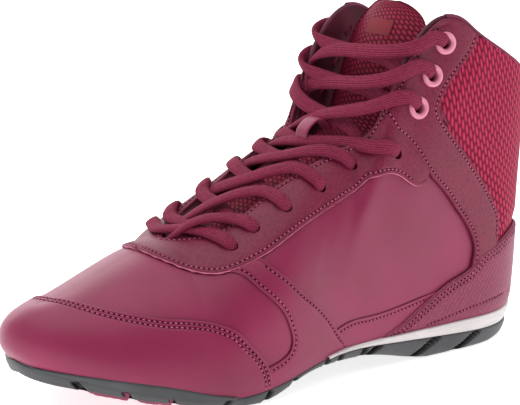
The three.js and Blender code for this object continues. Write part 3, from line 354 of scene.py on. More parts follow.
def mesh_from_grids(name: str, grids: Iterable[Grid], weld: float = 2e-5) -> bpy.types.Object:
    """One smooth mesh object from several grids, joined where they meet.

    Args:
        name: the piece's name.
        grids: the grids, each turned so that its faces look out.
        weld: distance under which two points become one, or 0.
    Returns:
        The linked object.
    """
    points, faces, flat, slots, shade = [], [], [], [], []
    base = 0
    for grid in grids:
        rows, cols = grid.points.shape[:2]
        index = np.arange(rows * cols).reshape(rows, cols) + base
        nxt = np.roll(index, -1, axis=1) if grid.wrap else index[:, 1:]
        here = index if grid.wrap else index[:, :-1]
        quads = np.stack([here[:-1], nxt[:-1], nxt[1:], here[1:]], -1).reshape(-1, 4)
        if grid.flip:
            quads = quads[:, ::-1]
        points.append(grid.points.reshape(-1, 3))
        flat.append(grid.flat.reshape(-1, 2))
        shade.append(np.zeros(rows * cols) if grid.shade is None else grid.shade.reshape(-1))
        faces.append(quads)
        slots.append(np.zeros(len(quads), int) if grid.slot is None else grid.slot.reshape(-1))
        base += rows * cols
    co, quads = np.concatenate(points), np.concatenate(faces)
    flat_all, slot_all, shade_all = np.concatenate(flat), np.concatenate(slots), np.concatenate(shade)
    if weld:
        key = np.round(co / weld).astype(np.int64)
        _, first, inverse = np.unique(key, axis=0, return_index=True, return_inverse=True)
        merged = inverse.reshape(-1)[quads]
        co, shade_all = co[first], shade_all[first]
    else:
        merged = quads
    polygons, corner_flat, kept_slots = [], [], []
    for quad, old, slot in zip(merged.tolist(), quads.tolist(), slot_all.tolist()):
        ring, marks = [], []
        for vertex, before in zip(quad, old):
            if vertex not in ring:
                ring.append(vertex)
                marks.append(before)
        if len(ring) > 2:
            polygons.append(ring)
            corner_flat.extend(marks)
            kept_slots.append(slot)
    mesh = bpy.data.meshes.new(name)
    mesh.from_pydata(co.tolist(), [], polygons)
    layer = mesh.uv_layers.new(name="flat")
    layer.data.foreach_set("uv", flat_all[corner_flat].astype(np.float32).ravel())
    mesh.polygons.foreach_set("material_index", kept_slots)
    mesh.polygons.foreach_set("use_smooth", [True] * len(polygons))
    attribute = mesh.attributes.new("shade", "FLOAT", "POINT")
    attribute.data.foreach_set("value", shade_all.astype(np.float32))
    mesh.update()
    obj = bpy.data.objects.new(name, mesh)
    bpy.context.scene.collection.objects.link(obj)
    return obj


def finish_piece(obj: bpy.types.Object, materials: Sequence[bpy.types.Material],
                 nodes: Sequence[str] = ()) -> bpy.types.Object:
    """Dresses a piece and fixes it to the frame.

    Args:
        obj: the piece.
        materials: the piece's materials, by face index.
        nodes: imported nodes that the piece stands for.
    Returns:
        The same piece.
    """
    for material in materials:
        obj.data.materials.append(material)
    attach(obj, BODY)
    if nodes:
        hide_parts(*nodes)
    LOG.info("%s: %d faces", obj.name, len(obj.data.polygons))
    return obj


def sweep(path: np.ndarray, ups: np.ndarray, width: np.ndarray, thick: np.ndarray, sides: int,
          square: float = 2.4) -> Grid:
    """Tube of a rounded oval section along a path.

    Args:
        path: points (n, 3).
        ups: directions (n, 3) that the section's thin way follows.
        width: full width at each point.
        thick: full thickness at each point.
        sides: corners of the section.
        square: 2 for an ellipse, more for a flatter one.
    Returns:
        The tube's grid, with length along and round it as its flat map.
    """
    tangent = unit(np.gradient(path, axis=0))
    across = unit(np.cross(tangent, ups))
    up = unit(np.cross(across, tangent))
    angle = 2 * np.pi * np.arange(sides) / sides
    c, s = np.cos(angle), np.sin(angle)
    ex = np.sign(c) * np.abs(c) ** (2 / square)
    ey = np.sign(s) * np.abs(s) ** (2 / square)
    ring = (across[:, None, :] * (ex[None, :, None] * width[:, None, None] / 2)
            + up[:, None, :] * (ey[None, :, None] * thick[:, None, None] / 2))
    points = path[:, None, :] + ring
    length = arc_lengths(path)
    girth = float(np.mean(width)) * 2.3
    flat = np.stack(np.broadcast_arrays(length[:, None], (angle / (2 * np.pi) * girth)[None, :]), -1)
    return Grid(points, flat, flip=True, wrap=True)


def smooth_path(points: Sequence[np.ndarray], count: int) -> np.ndarray:
    """Smooth curve through points, evenly spaced."""
    raw = np.asarray(points, float)
    knots = arc_lengths(raw)
    curve = natural_spline(knots, raw)
    fine = curve(np.linspace(0, knots[-1], count * 4))
    along = arc_lengths(fine)
    even = np.linspace(0, along[-1], count)
    return resampled(even, along, fine)


# ---- Finishes ----

Socket = bpy.types.NodeSocket


def linear(hex_colour: str) -> tuple[float, float, float, float]:
    """Linear colour of an sRGB hex value."""
    channels = [int(hex_colour[i:i + 2], 16) / 255 for i in (1, 3, 5)]
    red, green, blue = [c / 12.92 if c <= 0.04045 else ((c + 0.055) / 1.055) ** 2.4 for c in channels]
    return (red, green, blue, 1.0)


def add_node(tree: bpy.types.NodeTree, kind: str, settings: dict[str, object] | None = None,
             **inputs: object) -> bpy.types.Node:
    """Adds a node, sets it and links it.

    Args:
        tree: the material's node tree.
        kind: Blender's node type.
        settings: attributes of the node.
        **inputs: socket names (with _ for a space, or in0 for a number) and their values or
            the output sockets that feed them.
    Returns:
        The new node.
    """
    node = tree.nodes.new(kind)
    for key, value in (settings or {}).items():
        setattr(node, key, value)
    for key, value in inputs.items():
        numbered = key[:2] == "in" and key[2:].isdigit()
        socket = node.inputs[int(key[2:]) if numbered else key.replace("_", " ")]
        if isinstance(value, Socket):
            tree.links.new(value, socket)
        else:
            socket.default_value = value
    return node


class Recipe:
    """A new material with one surface shader, and the patterns that a finish is mixed from."""

    def __init__(self, name: str) -> None:
        """Makes the material with a bare shader."""
        self.material = bpy.data.materials.new(name)
        self.material.use_nodes = True
        self.tree = self.material.node_tree
        self.tree.nodes.clear()
        self.shader = add_node(self.tree, "ShaderNodeBsdfPrincipled")
        add_node(self.tree, "ShaderNodeOutputMaterial", Surface=self.shader.outputs["BSDF"])

    def place(self) -> Socket:
        """Place in the piece, in metres."""
        return add_node(self.tree, "ShaderNodeTexCoord").outputs["Object"]

    def flat(self) -> Socket:
        """Place on the piece's flat map, in metres."""
        return add_node(self.tree, "ShaderNodeUVMap", {"uv_map": "flat"}).outputs["UV"]

    def noise(self, where: Socket, scale: float, detail: float) -> Socket:
        """Cloudy noise about 0.5."""
        return add_node(self.tree, "ShaderNodeTexNoise", Vector=where, Scale=scale, Detail=detail).outputs["Fac"]

    def math(self, operation: str, *values: object) -> Socket:
        """Result of one sum on numbers and sockets."""
        inputs = {f"in{index}": value for index, value in enumerate(values)}
        return add_node(self.tree, "ShaderNodeMath", {"operation": operation}, **inputs).outputs["Value"]

    def turned(self, where: Socket, axis: int, degrees: float) -> Socket:
        """Place turned about one axis."""
        angles = [0.0, 0.0, 0.0]
        angles[axis] = math.radians(degrees)
        return add_node(self.tree, "ShaderNodeMapping", Vector=where, Rotation=angles).outputs["Vector"]

    def spread(self, value: Socket, low: float, high: float, to: tuple[float, float] = (0.0, 1.0),
               kind: str = "LINEAR") -> Socket:
        """Value taken from one range to another."""
        return add_node(self.tree, "ShaderNodeMapRange", {"interpolation_type": kind}, Value=value,
                        From_Min=low, From_Max=high, To_Min=to[0], To_Max=to[1]).outputs["Result"]

    def blend(self, factor: Socket, low: str | Socket, high: str | Socket) -> Socket:
        """Colour between two, each a hex value or a socket."""
        colours = [linear(value) if isinstance(value, str) else value for value in (low, high)]
        mix = add_node(self.tree, "ShaderNodeMix", {"data_type": "RGBA"}, Factor=factor, in6=colours[0],
                       in7=colours[1])
        return mix.outputs[2]

    def dress(self, colour: Socket, height: Socket, strength: float, depth_mm: float,
              invert: bool = False, **surface: object) -> bpy.types.Material:
        """Wires the shader.

        Args:
            colour: base colour.
            height: relief, from 0 to about 1.
            strength: share of the relief that shows.
            depth_mm: the relief's real depth.
            invert: whether the pattern's high places are sunk.
            **surface: the shader's other inputs, with _ for a space.
        Returns:
            The finished material.
        """
        bump = add_node(self.tree, "ShaderNodeBump", {"invert": invert}, Height=height, Strength=strength,
                        Distance=depth_mm * MM)
        for key, value in {"Base_Color": colour, "Normal": bump.outputs["Normal"], **surface}.items():
            socket = self.shader.inputs[key.replace("_", " ")]
            if isinstance(value, Socket):
                self.tree.links.new(value, socket)
            else:
                socket.default_value = value
        return self.material


@dataclass(frozen=True)
class CoatedLeather:
    """Full-grain leather, rolled smooth and spray-coated: even colour, soft broad gloss."""

    name: str = "smooth_coated_leather"
    colour: str = "#922750"
    deep: str = "#832145"
    roughness: float = 0.42
    pore_mm: float = 0.9
    pore_depth_mm: float = 0.02
    specular: float = 0.36

    def build(self) -> bpy.types.Material:
        """Makes the material: slow clouds of dye, and pores that dull and dent the coat."""
        recipe = Recipe(self.name)
        place = recipe.place()
        pores = recipe.noise(place, 1000 / self.pore_mm, 2.0)
        colour = recipe.blend(recipe.spread(recipe.noise(place, 22.0, 3.0), 0.35, 0.65), self.deep, self.colour)
        rough = recipe.spread(pores, 0.3, 0.7, (self.roughness - 0.04, self.roughness + 0.06))
        return recipe.dress(colour, pores, 0.25, self.pore_depth_mm, Roughness=rough, IOR=1.5,
                            Specular_IOR_Level=self.specular, Sheen_Weight=0.12, Sheen_Roughness=0.35)


@dataclass(frozen=True)
class PressedLeather:
    """Split leather with a pressed grain of small soft cells: duller than the smooth leather."""

    name: str = "pressed_grain_leather"
    colour: str = "#8A1E41"
    deep: str = "#6A1331"
    roughness: float = 0.50
    cell_mm: float = 1.1
    depth_mm: float = 0.10
    ribbed: bool = False

    def build(self) -> bpy.types.Material:
        """Makes the material: warped cells, darker in the grooves, over slanted ribs if it has them."""
        recipe = Recipe(self.name)
        place = recipe.place()
        warp = add_node(recipe.tree, "ShaderNodeTexNoise", Vector=place, Scale=500.0, Detail=2.0)
        bend = add_node(recipe.tree, "ShaderNodeVectorMath", {"operation": "MULTIPLY_ADD"},
                        in0=warp.outputs["Color"], in1=(0.0008, 0.0008, 0.0008), in2=place)
        height = add_node(recipe.tree, "ShaderNodeTexVoronoi", {"feature": "SMOOTH_F1"},
                          Vector=bend.outputs["Vector"], Scale=1000 / self.cell_mm,
                          Smoothness=0.4).outputs["Distance"]
        if self.ribbed:
            ribs = add_node(recipe.tree, "ShaderNodeTexWave", {"wave_type": "BANDS", "bands_direction": "X"},
                            Vector=recipe.turned(place, 1, -38.0), Scale=140.0, Distortion=3.5, Detail=2.0,
                            Detail_Scale=2.0)
            height = recipe.math("MULTIPLY_ADD", ribs.outputs["Fac"], 0.8, height)
        tone = recipe.math("MULTIPLY_ADD", recipe.noise(place, 30.0, 3.0), 0.5, height)
        colour = recipe.blend(recipe.spread(tone, 0.25, 1.0), self.colour, self.deep)
        return recipe.dress(colour, height, 0.55, self.depth_mm, True, Roughness=self.roughness,
                            Specular_IOR_Level=0.35)


@dataclass(frozen=True)
class SpacerMesh:
    """Knitted polyester spacer mesh: rows of long raised loops over a darker ground."""

    name: str = "knitted_spacer_mesh"
    loop: str = "#C4305C"
    ground: str = "#760A2A"
    roughness: float = 0.62
    pitch_across_mm: float = 2.1
    pitch_along_mm: float = 4.5
    depth_mm: float = 0.7
    slant_deg: float = 24.0

    def build(self) -> bpy.types.Material:
        """Makes the material: half-drop columns of loops, each a sine arch along and across."""
        recipe = Recipe(self.name)
        flat = recipe.flat()
        parts = add_node(recipe.tree, "ShaderNodeSeparateXYZ", Vector=recipe.turned(flat, 2, self.slant_deg))
        column = recipe.math("DIVIDE", parts.outputs["X"], self.pitch_across_mm * MM)
        drop = recipe.math("MULTIPLY", recipe.math("FLOOR", column), 0.5)
        row = recipe.math("ADD", recipe.math("DIVIDE", parts.outputs["Y"], self.pitch_along_mm * MM), drop)
        arches = []
        for source, sharp in ((column, 0.7), (row, 0.6)):
            angle = recipe.math("MULTIPLY", recipe.math("FRACT", source), math.pi)
            arches.append(recipe.math("POWER", recipe.math("SINE", angle), sharp))
        height = recipe.math("MULTIPLY_ADD", recipe.noise(flat, 2500.0, 2.0), 0.15, recipe.math("MULTIPLY", *arches))
        colour = recipe.blend(recipe.spread(height, 0.35, 1.02, kind="SMOOTHSTEP"), self.ground, self.loop)
        return recipe.dress(colour, height, 0.8, self.depth_mm, Roughness=self.roughness, Specular_IOR_Level=0.15)


@dataclass(frozen=True)
class KnittedCord:
    """Oval polyester lace: a tube of fine knitted stitches, dull with a light bloom."""

    name: str = "knitted_polyester_cord"
    colour: str = "#A23456"
    shade: str = "#4E1024"
    stitch_mm: float = 1.0

    def build(self) -> bpy.types.Material:
        """Makes the material: offset rows of stitches with soft dark gaps, and fuzz."""
        recipe = Recipe(self.name)
        flat = recipe.flat()
        stitches = add_node(recipe.tree, "ShaderNodeTexBrick", Vector=flat, Scale=1000 / self.stitch_mm,
                            Mortar_Size=0.16, Mortar_Smooth=1.0, Brick_Width=1.3, Row_Height=0.7,
                            Color1=(1, 1, 1, 1), Color2=(0.7, 0.7, 0.7, 1), Mortar=(0, 0, 0, 1)).outputs["Color"]
        height = recipe.math("MULTIPLY_ADD", recipe.noise(flat, 1600.0, 3.0), 0.6, stitches)
        colour = recipe.blend(recipe.spread(height, 0.3, 1.25), self.shade, self.colour)
        return recipe.dress(colour, height, 0.9, 0.4, Roughness=0.8, Specular_IOR_Level=0.2)


@dataclass(frozen=True)
class Moulded:
    """Plain plastic, foam, rubber, tape or edge, or a line of painted shade or highlight: one colour with faint marks,
    wear and a fine pitting, and painted shade in cuts where it has a shade colour.
    """

    name: str
    colour: str
    worn: str
    roughness: float
    grain_mm: float = 0.8
    grain_depth_mm: float = 0.03
    coat: float = 0.0
    shade_colour: str | None = None
    specular: float = 0.5

    def build(self) -> bpy.types.Material:
        """Makes the material, with painted shade darkening its cuts where the mesh carries a shade weight."""
        recipe = Recipe(self.name)
        place = recipe.place()
        colour = recipe.blend(recipe.spread(recipe.noise(place, 60.0, 4.0), 0.35, 0.7), self.colour, self.worn)
        if self.shade_colour:
            mark = add_node(recipe.tree, "ShaderNodeAttribute", {"attribute_name": "shade"}).outputs["Fac"]
            colour = recipe.blend(mark, colour, self.shade_colour)
        grit = recipe.noise(place, 1000 / self.grain_mm, 2.0)
        return recipe.dress(colour, grit, 0.5, self.grain_depth_mm, Roughness=self.roughness,
                            Coat_Weight=self.coat, Specular_IOR_Level=self.specular)


@dataclass
class Wardrobe:
    """Every finish of the shoe, made once."""

    made: dict[str, bpy.types.Material] = field(default_factory=dict)

    def __post_init__(self) -> None:
        """Builds the materials."""
        finishes = {
            "smooth": CoatedLeather(),
            "grain": PressedLeather(),
            "counter": PressedLeather(name="embossed_counter_leather", colour="#B04068", deep="#7E2747",
                                      depth_mm=0.2, cell_mm=0.9, ribbed=True),
            "mesh": SpacerMesh(),
            "tongue_mesh": SpacerMesh(name="tongue_mesh", loop="#9E2446", ground="#58081E", pitch_across_mm=2.0,
                                      pitch_along_mm=3.3, depth_mm=0.4, slant_deg=38.0),
            "lace": KnittedCord(),
            "thread": Moulded("bonded_polyester_thread", "#C2688A", "#A84A70", 0.6, 0.4, 0.02, specular=0.2),
            # painted shade: dark discs at the needle holes and the dark walls of the punched lace holes
            "pinhole": Moulded("needle_hole_shadow", "#4C0A22", "#3C061A", 0.9, specular=0.1),
            # painted shade: a dark strip along each stitch row stands for the shadow in the seam's furrow
            "furrow": Moulded("leather_in_seam_furrow", "#64142F", "#561027", 0.7, specular=0.15),
            # painted shade: a thin dark line on the rolled edge of the band, saddle and stay, for the shadow at the
            # panel's edge
            "dark_edge": Moulded("painted_edge_shade", "#64142F", "#52102A", 0.6, specular=0.2),
            "soft_edge": Moulded("rolled_leather_edge", "#9C4664", "#8E3A58", 0.55),
            # painted highlight: a thin pale line on the eyestay's rolled edge, for the light caught along it
            "pale_edge": Moulded("painted_edge_highlight", "#CF7390", "#C06282", 0.6),
            "ring": Moulded("moulded_acetal_eyelet", "#E58CA5", "#DC7F99", 0.32, 1.5, 0.01, 0.2),
            "midsole": Moulded("moulded_eva_foam", "#DAD4D4", "#CEC7C7", 0.55, 1.0, 0.04),
            # painted shade: the rubber turns near black inside the slanted cuts of its wall
            "rubber": Moulded("moulded_carbon_rubber", "#3A3B3E", "#494B4E", 0.5, 0.7, 0.05, 0.0, "#070708"),
            "tread": Moulded("moulded_tread_rubber", "#9C4460", "#83324D", 0.7, 1.2, 0.3),
            "lining": Moulded("brushed_nylon_lining", "#641A33", "#4C1227", 0.9, 0.6, 0.06),
            "binding": Moulded("folded_binding_tape", "#5E1D35", "#481427", 0.75, 0.5, 0.08),
            "tape": KnittedCord(name="knitted_edge_tape", colour="#A04868", shade="#32101C", stitch_mm=1.3),
            "patch": Moulded("plain_woven_patch", "#861C2C", "#6E1424", 0.8, 0.6, 0.05),
        }
        self.made = {key: finish.build() for key, finish in finishes.items()}

    def __getitem__(self, key: str) -> bpy.types.Material:
        """The material of that key."""
        return self.made[key]


# ---- Panels of the upper ----

@dataclass
class SubAssembly:
    """Group of pieces built on one last from one wardrobe."""

    last: Last
    wardrobe: Wardrobe


# Eyelets from the toe up: share at the foot of the rib, share up it, share at whose rib the lace
# crosses the throat's edge, and whether it has a ring
EYELETS = [
    (0.706, 0.806, 0.722, False),
    (0.682, 0.815, 0.702, False),
    (0.641, 0.800, 0.670, False),
    (0.594, 0.815, 0.632, False),
    (0.547, 0.865, 0.592, False),
    (0.442, 0.578, 0.548, False),
    (0.429, 0.711, 0.500, True),
    (0.420, 0.809, 0.476, True),
    (0.410, 0.915, 0.454, True),
]


PLAIN = [row for row, (*_, ring) in enumerate(EYELETS) if not ring]
RINGED = [row for row, (*_, ring) in enumerate(EYELETS) if ring]


class SeamCurve:
    """Line on the upper through places (share of length, share up the rib).

    Each part is smooth in itself, and the parts meet at corners.
    """

    def __init__(self, *parts: Sequence[tuple[float, float]], inner: SeamCurve | None = None) -> None:
        """Makes a fine polyline of the parts, and keeps the inner side's own line if it has one."""
        self.inner = inner
        lines = []
        for part in parts:
            knots = np.array([(float(Last.turn(share)), phi) for share, phi in part])
            if len(knots) == 2:
                lines.append(knots[0] + (knots[1] - knots[0]) * np.linspace(0, 1, 80)[:, None])
                continue
            length = arc_lengths(knots * np.array([300.0, 100.0]))
            lines.append(natural_spline(length / length[-1], knots)(np.linspace(0, 1, 240)))
        line = np.concatenate([lines[0]] + [extra[1:] for extra in lines[1:]])
        self.line = np.clip(line, 0.0, 1.0)

    def places(self, last: Last, side: int, count: int) -> np.ndarray:
        """Stations and shares at even steps of real length."""
        line = self.inner.line if self.inner and side > 0 else self.line
        length = arc_lengths(last.point(line[:, 0], line[:, 1], side))
        even = np.linspace(0, length[-1], count)
        return resampled(even, length, line)

    def length(self, last: Last, side: int) -> float:
        """Real length of the line on that side."""
        at = self.places(last, side, 400)
        return float(arc_lengths(last.point(at[:, 0], at[:, 1], side))[-1])

    def points(self, last: Last, side: int, count: int = 500) -> np.ndarray:
        """Even points of the line on the upper's face."""
        at = self.places(last, side, count)
        return last.point(at[:, 0], at[:, 1], side)

    def shifted(self, last: Last, side: int, inset_mm: float, count: int = 400) -> np.ndarray:
        """The line moved sideways over the surface.

        Args:
            last: the shoe's form.
            side: -1 or 1.
            inset_mm: distance, more than 0 to the left of the line's travel in a chart with
                stations to the right and rib shares up.
            count: number of places.
        Returns:
            Stations and shares of the moved line.
        """
        at = self.places(last, side, count)
        u, phi = at[:, 0], at[:, 1]
        base = last.point(u, phi, side)
        tangent = unit(np.gradient(base, axis=0))
        left = np.cross(side * last.normal(u, phi, side), tangent)
        target = base + unit(left) * inset_mm * MM
        step = 1e-3
        for _ in range(3):
            du = (last.point(np.clip(u + step, 0, 1), phi, side) - last.point(np.clip(u - step, 0, 1), phi, side))
            dphi = (last.point(u, np.clip(phi + step, 0, 1), side) - last.point(u, np.clip(phi - step, 0, 1), side))
            du = du / (np.clip(u + step, 0, 1) - np.clip(u - step, 0, 1))[:, None]
            dphi = dphi / (np.clip(phi + step, 0, 1) - np.clip(phi - step, 0, 1))[:, None]
            miss = target - last.point(u, phi, side)
            a, b, c = (du * du).sum(1), (du * dphi).sum(1), (dphi * dphi).sum(1)
            p, q = (du * miss).sum(1), (dphi * miss).sum(1)
            det = a * c - b * b + 1e-18
            u = np.clip(u + (c * p - b * q) / det, 0, 1)
            phi = np.clip(phi + (a * q - b * p) / det, 0, 1)
        return np.stack([u, phi], -1)


@dataclass
class Panel:
    """Leather overlay ruled between two lines on the upper, with rolled edges and stitch rows."""

    name: str
    first: SeamCurve
    second: SeamCurve
    height_mm: float
    rims: Sequence[SeamCurve]
    rows: Sequence[tuple[SeamCurve, float]] = ()
    dense: tuple[str, ...] = ("first",)
    edge_slot: tuple[str, ...] = ()
    roll_mm: float = 0.9
    step_mm: float = 1.5
    groove_mm: float = 0.34
    puff_mm: float = 0.0

    # Rows of faces by each border that take the edge's material: painted shade on the band, saddle and stay, a painted
    # highlight on the eyestay, and a rolled-edge colour on the toe cap and counter
    BORDERS = {"first": np.s_[:, :3], "second": np.s_[:, -2:], "start": np.s_[:2, :], "end": np.s_[-2:, :]}
    ROW_STEPS = np.array([0.0, 0.04, 0.15, 0.35, 0.65, 1.0, 1.7, 2.4])
    SOLE_TUCK, SOLE_TUCK_MM = 0.65, 4.0
    GROOVE_HALF_MM = 0.7
    PUFF_RUN_MM = 9.0

    def lines(self, last: Last, side: int) -> tuple[np.ndarray, np.ndarray]:
        """Grid of stations and of shares up the rib, close together at the edges.

        Both sides are spaced as the outer one, so that they share the points where they meet.

        Args:
            last: the shoe's form.
            side: -1 or 1.
        Returns:
            Two arrays (along, across).
        """
        own, side = side, Side.OUTER
        fine = 600
        length = max(self.first.length(last, side), self.second.length(last, side))
        count = max(4, int(length / (self.step_mm * MM)))
        marks = self._marks(length, count, "start" in self.dense, "end" in self.dense) / length

        def ends(line: SeamCurve, on: int) -> np.ndarray:
            """Places of a line at the marks."""
            return resampled(marks, np.linspace(0, 1, fine), line.places(last, on, fine))

        def ruled(share: np.ndarray) -> tuple[np.ndarray, np.ndarray]:
            """Stations and rib shares at shares of the way across."""
            every = np.broadcast_to(share, (len(marks), share.shape[-1]))[..., None]
            mixed = near[:, None] + (far - near)[:, None] * every
            return mixed[..., 0], mixed[..., 1]

        near, far = ends(self.first, side), ends(self.second, side)
        steps = np.linspace(0, 1, 60)
        u, phi = ruled(steps)
        widths = row_lengths(last.point(u, phi, side))
        cross = max(4, int(widths[:, -1].max() / (self.step_mm * MM)))
        share = np.array([
            np.interp(self._marks(max(line[-1], 1e-6), cross, "first" in self.dense, "second" in self.dense),
                      line, steps) for line in widths])
        if self.first.inner and own > 0:
            near = ends(self.first, own)
        return ruled(share)

    def _marks(self, length: float, count: int, dense_start: bool, dense_end: bool) -> np.ndarray:
        """Places along a length, with extra ones by an edge."""
        close = self.ROW_STEPS * self.roll_mm * MM
        close = close * min(1.0, 0.4 * length / close[-1])
        inner = np.linspace(close[-1] if dense_start else 0.0, length - (close[-1] if dense_end else 0.0), count + 1)
        parts = [close[:-1]] if dense_start else []
        parts.append(inner)
        if dense_end:
            parts.append(length - close[:-1][::-1])
        return np.concatenate(parts)

    def rise(self, last: Last, face: np.ndarray, side: int) -> np.ndarray:
        """Share of the full height at points of the face, from 0 at a rim to 1 inside."""
        if not self.rims:
            return np.ones(face.shape[:-1])
        rim = np.concatenate([line.points(last, side) for line in self.rims])
        gap = np.clip(near_distance(face, rim) / (self.roll_mm * MM), 0, 1)
        return np.sqrt(np.clip(1 - (1 - gap) ** 2, 0, 1))

    def lift(self, last: Last, u: np.ndarray, phi: np.ndarray, side: int) -> np.ndarray:
        """Height of the panel over the upper's face at places of it."""
        face = last.point(u, phi, side)
        over_sole = (face[..., 2] - last.feather(u)) / MM
        tuck = 1 - self.SOLE_TUCK * np.exp(-((over_sole / self.SOLE_TUCK_MM) ** 2))
        height = self.height_mm * MM * self.rise(last, face, side) * tuck
        for line, inset in self.rows:
            at = line.shifted(last, side, inset, 260)
            gap = near_distance(face, last.point(at[:, 0], at[:, 1], side)) / MM
            height = height - self.groove_mm * MM * np.exp(-((gap / self.GROOVE_HALF_MM) ** 2))
        if self.puff_mm:
            rim = np.concatenate([line.points(last, side) for line in self.rims])
            gap = np.clip(near_distance(face, rim) / (self.PUFF_RUN_MM * MM), 0, 1)
            height = height + self.puff_mm * MM * gap * gap * (3 - 2 * gap)
        return height + CREASES.lift(face)

    def grid(self, last: Last, side: int) -> Grid:
        """One side of the panel."""
        u, phi = self.lines(last, side)
        points = last.skin(u, phi, side, self.lift(last, u, phi, side))
        slot = np.zeros((u.shape[0] - 1, u.shape[1] - 1), int)
        for border in self.edge_slot:
            slot[self.BORDERS[border]] = 1
        flat = np.stack([points[..., 0], points[..., 2] + points[..., 1]], -1)
        return Grid(points, flat, flip=self._turned(last, points, u, phi, side), slot=slot)

    @staticmethod
    def _turned(last: Last, points: np.ndarray, u: np.ndarray, phi: np.ndarray, side: int) -> bool:
        """Whether the grid's own winding looks inwards."""
        i, j = u.shape[0] // 2, u.shape[1] // 2
        face = np.cross(points[i, j + 1] - points[i, j], points[i + 1, j] - points[i, j])
        return bool(np.dot(face, last.normal(u[i, j], phi[i, j], side)) < 0)

    def seam_line(self, last: Last, side: int, line: SeamCurve, inset_mm: float) -> tuple[np.ndarray, np.ndarray]:
        """Points and normals of a stitch row on the panel's face."""
        at = line.shifted(last, side, inset_mm)
        u, phi = at[:, 0], at[:, 1]
        lift = self.lift(last, u, phi, side)
        return last.skin(u, phi, side, lift), last.normal(u, phi, side)


@dataclass(frozen=True)
class Crease:
    """Soft ridge or trough: middle, direction, half length, half width and height, in mm."""

    middle: tuple[float, float, float]
    along: tuple[float, float, float]
    half_length: float
    half_width: float
    height: float


@dataclass(frozen=True)
class CreaseSet:
    """The main creases of the upper, listed one by one."""

    creases: tuple[Crease, ...]

    def lift(self, points: np.ndarray) -> np.ndarray:
        """Height that the creases add at points of the upper, in metres."""
        total = np.zeros(points.shape[:-1])
        for crease in self.creases:
            offset = points / MM - np.array(crease.middle)
            direction = np.array(crease.along) / np.linalg.norm(crease.along)
            along = offset @ direction
            across = np.linalg.norm(offset - along[..., None] * direction, axis=-1)
            fall = np.exp(-((along / crease.half_length) ** 2) - (across / crease.half_width) ** 2)
            total += crease.height * MM * fall
        return total


CREASES = CreaseSet((
    Crease((24.0, -36.0, 48.0), (0.1, 0.0, 1.0), 22.0, 9.0, 0.30),
    Crease((10.0, -33.5, 78.0), (0.45, 0.05, 1.0), 18.0, 9.0, 2.2),
    Crease((10.0, 33.5, 78.0), (0.45, -0.05, 1.0), 18.0, 9.0, 2.2),
    Crease((2.0, -38.0, 42.0), (0.35, 0.0, 1.0), 20.0, 11.0, -0.10),
    Crease((48.0, -34.0, 52.0), (-0.2, 0.0, 1.0), 22.0, 10.0, 0.30),
    Crease((14.0, 30.0, 50.0), (0.2, 0.0, 1.0), 20.0, 9.0, -0.5),
    Crease((-30.0, -30.0, 47.0), (0.5, 0.6, 0.5), 16.0, 8.0, -0.06),
    Crease((-42.0, -22.0, 53.0), (0.3, 0.9, 0.3), 16.0, 8.0, 0.06),
))

# Seam lines of the outer side, which the inner side repeats
TOE_SEAM = SeamCurve([(0.646, 0.0), (0.651, 0.053), (0.658, 0.098), (0.674, 0.169), (0.698, 0.268), (0.726, 0.376),
                      (0.761, 0.416), (0.817, 0.445), (0.864, 0.522), (0.903, 0.653), (0.940, 0.870), (0.958, 1.0)],
                     inner=SeamCurve([(0.700, 0.0), (0.710, 0.100), (0.730, 0.220), (0.765, 0.330), (0.820, 0.400),
                                      (0.870, 0.460), (0.910, 0.560), (0.938, 0.700), (0.952, 0.870), (0.958, 1.0)]))
TOE_TIP = SeamCurve([(1.0, 0.0), (1.0, 1.0)])
EYESTAY_SEAM = SeamCurve([(0.365, 0.457), (0.377, 0.444), (0.413, 0.466), (0.446, 0.521), (0.470, 0.577),
                          (0.498, 0.661), (0.539, 0.708), (0.575, 0.680), (0.602, 0.659), (0.630, 0.639),
                          (0.668, 0.628), (0.692, 0.648), (0.710, 0.668), (0.727, 0.676), (0.768, 0.769),
                          (0.796, 0.873), (0.812, 1.0)])
EYESTAY_TOP = SeamCurve([(0.367, 0.510), (0.400, 0.590), (0.443, 0.690), (0.480, 0.880), (0.505, 1.0)],
                        [(0.505, 1.0), (0.812, 1.0)])
THROAT_EDGE = SeamCurve([(0.412, 1.0), (0.745, 1.0)])
STAY_PLACES = [(0.186, 0.150), (0.186, 0.202), (0.187, 0.244), (0.199, 0.287), (0.228, 0.342), (0.266, 0.392),
               (0.306, 0.440), (0.377, 0.502), (0.443, 0.639), (0.488, 0.896), (0.505, 1.0)]
STAY_FRONT = SeamCurve(STAY_PLACES)
STAY_FRONT_TOP = SeamCurve(STAY_PLACES, [(0.505, 1.0), (0.412, 1.0)])
STAY_BACK = SeamCurve([(0.118, 0.200), (0.126, 0.269), (0.138, 0.366), (0.161, 0.422), (0.194, 0.476),
                       (0.244, 0.540), (0.295, 0.594), (0.346, 0.637), (0.376, 0.662), (0.390, 0.685),
                       (0.392, 0.715), (0.386, 0.773), (0.369, 0.846), (0.348, 0.913), (0.326, 1.0)])
COLLAR_EDGE = SeamCurve([(0.0, 1.0), (0.412, 1.0)])
COUNTER_REAR = [(0.000, 0.342), (0.020, 0.342), (0.066, 0.331), (0.105, 0.294), (0.126, 0.266)]
COUNTER_SEAM = SeamCurve(COUNTER_REAR + [(0.170, 0.218), (0.180, 0.195), (0.229, 0.146), (0.265, 0.110),
                                         (0.298, 0.077), (0.338, 0.036), (0.397, 0.0)])
COUNTER_LOW = SeamCurve([(0.278, 0.020), (0.199, 0.045), (0.157, 0.058), (0.088, 0.072), (0.030, 0.078)])
COUNTER_FOOT = SeamCurve([(0.0, 0.0), (0.397, 0.0)])
BAND_SEAM = SeamCurve([(0.540, 0.088), (0.488, 0.089), (0.426, 0.073), (0.367, 0.080), (0.310, 0.100),
                       (0.258, 0.118)])
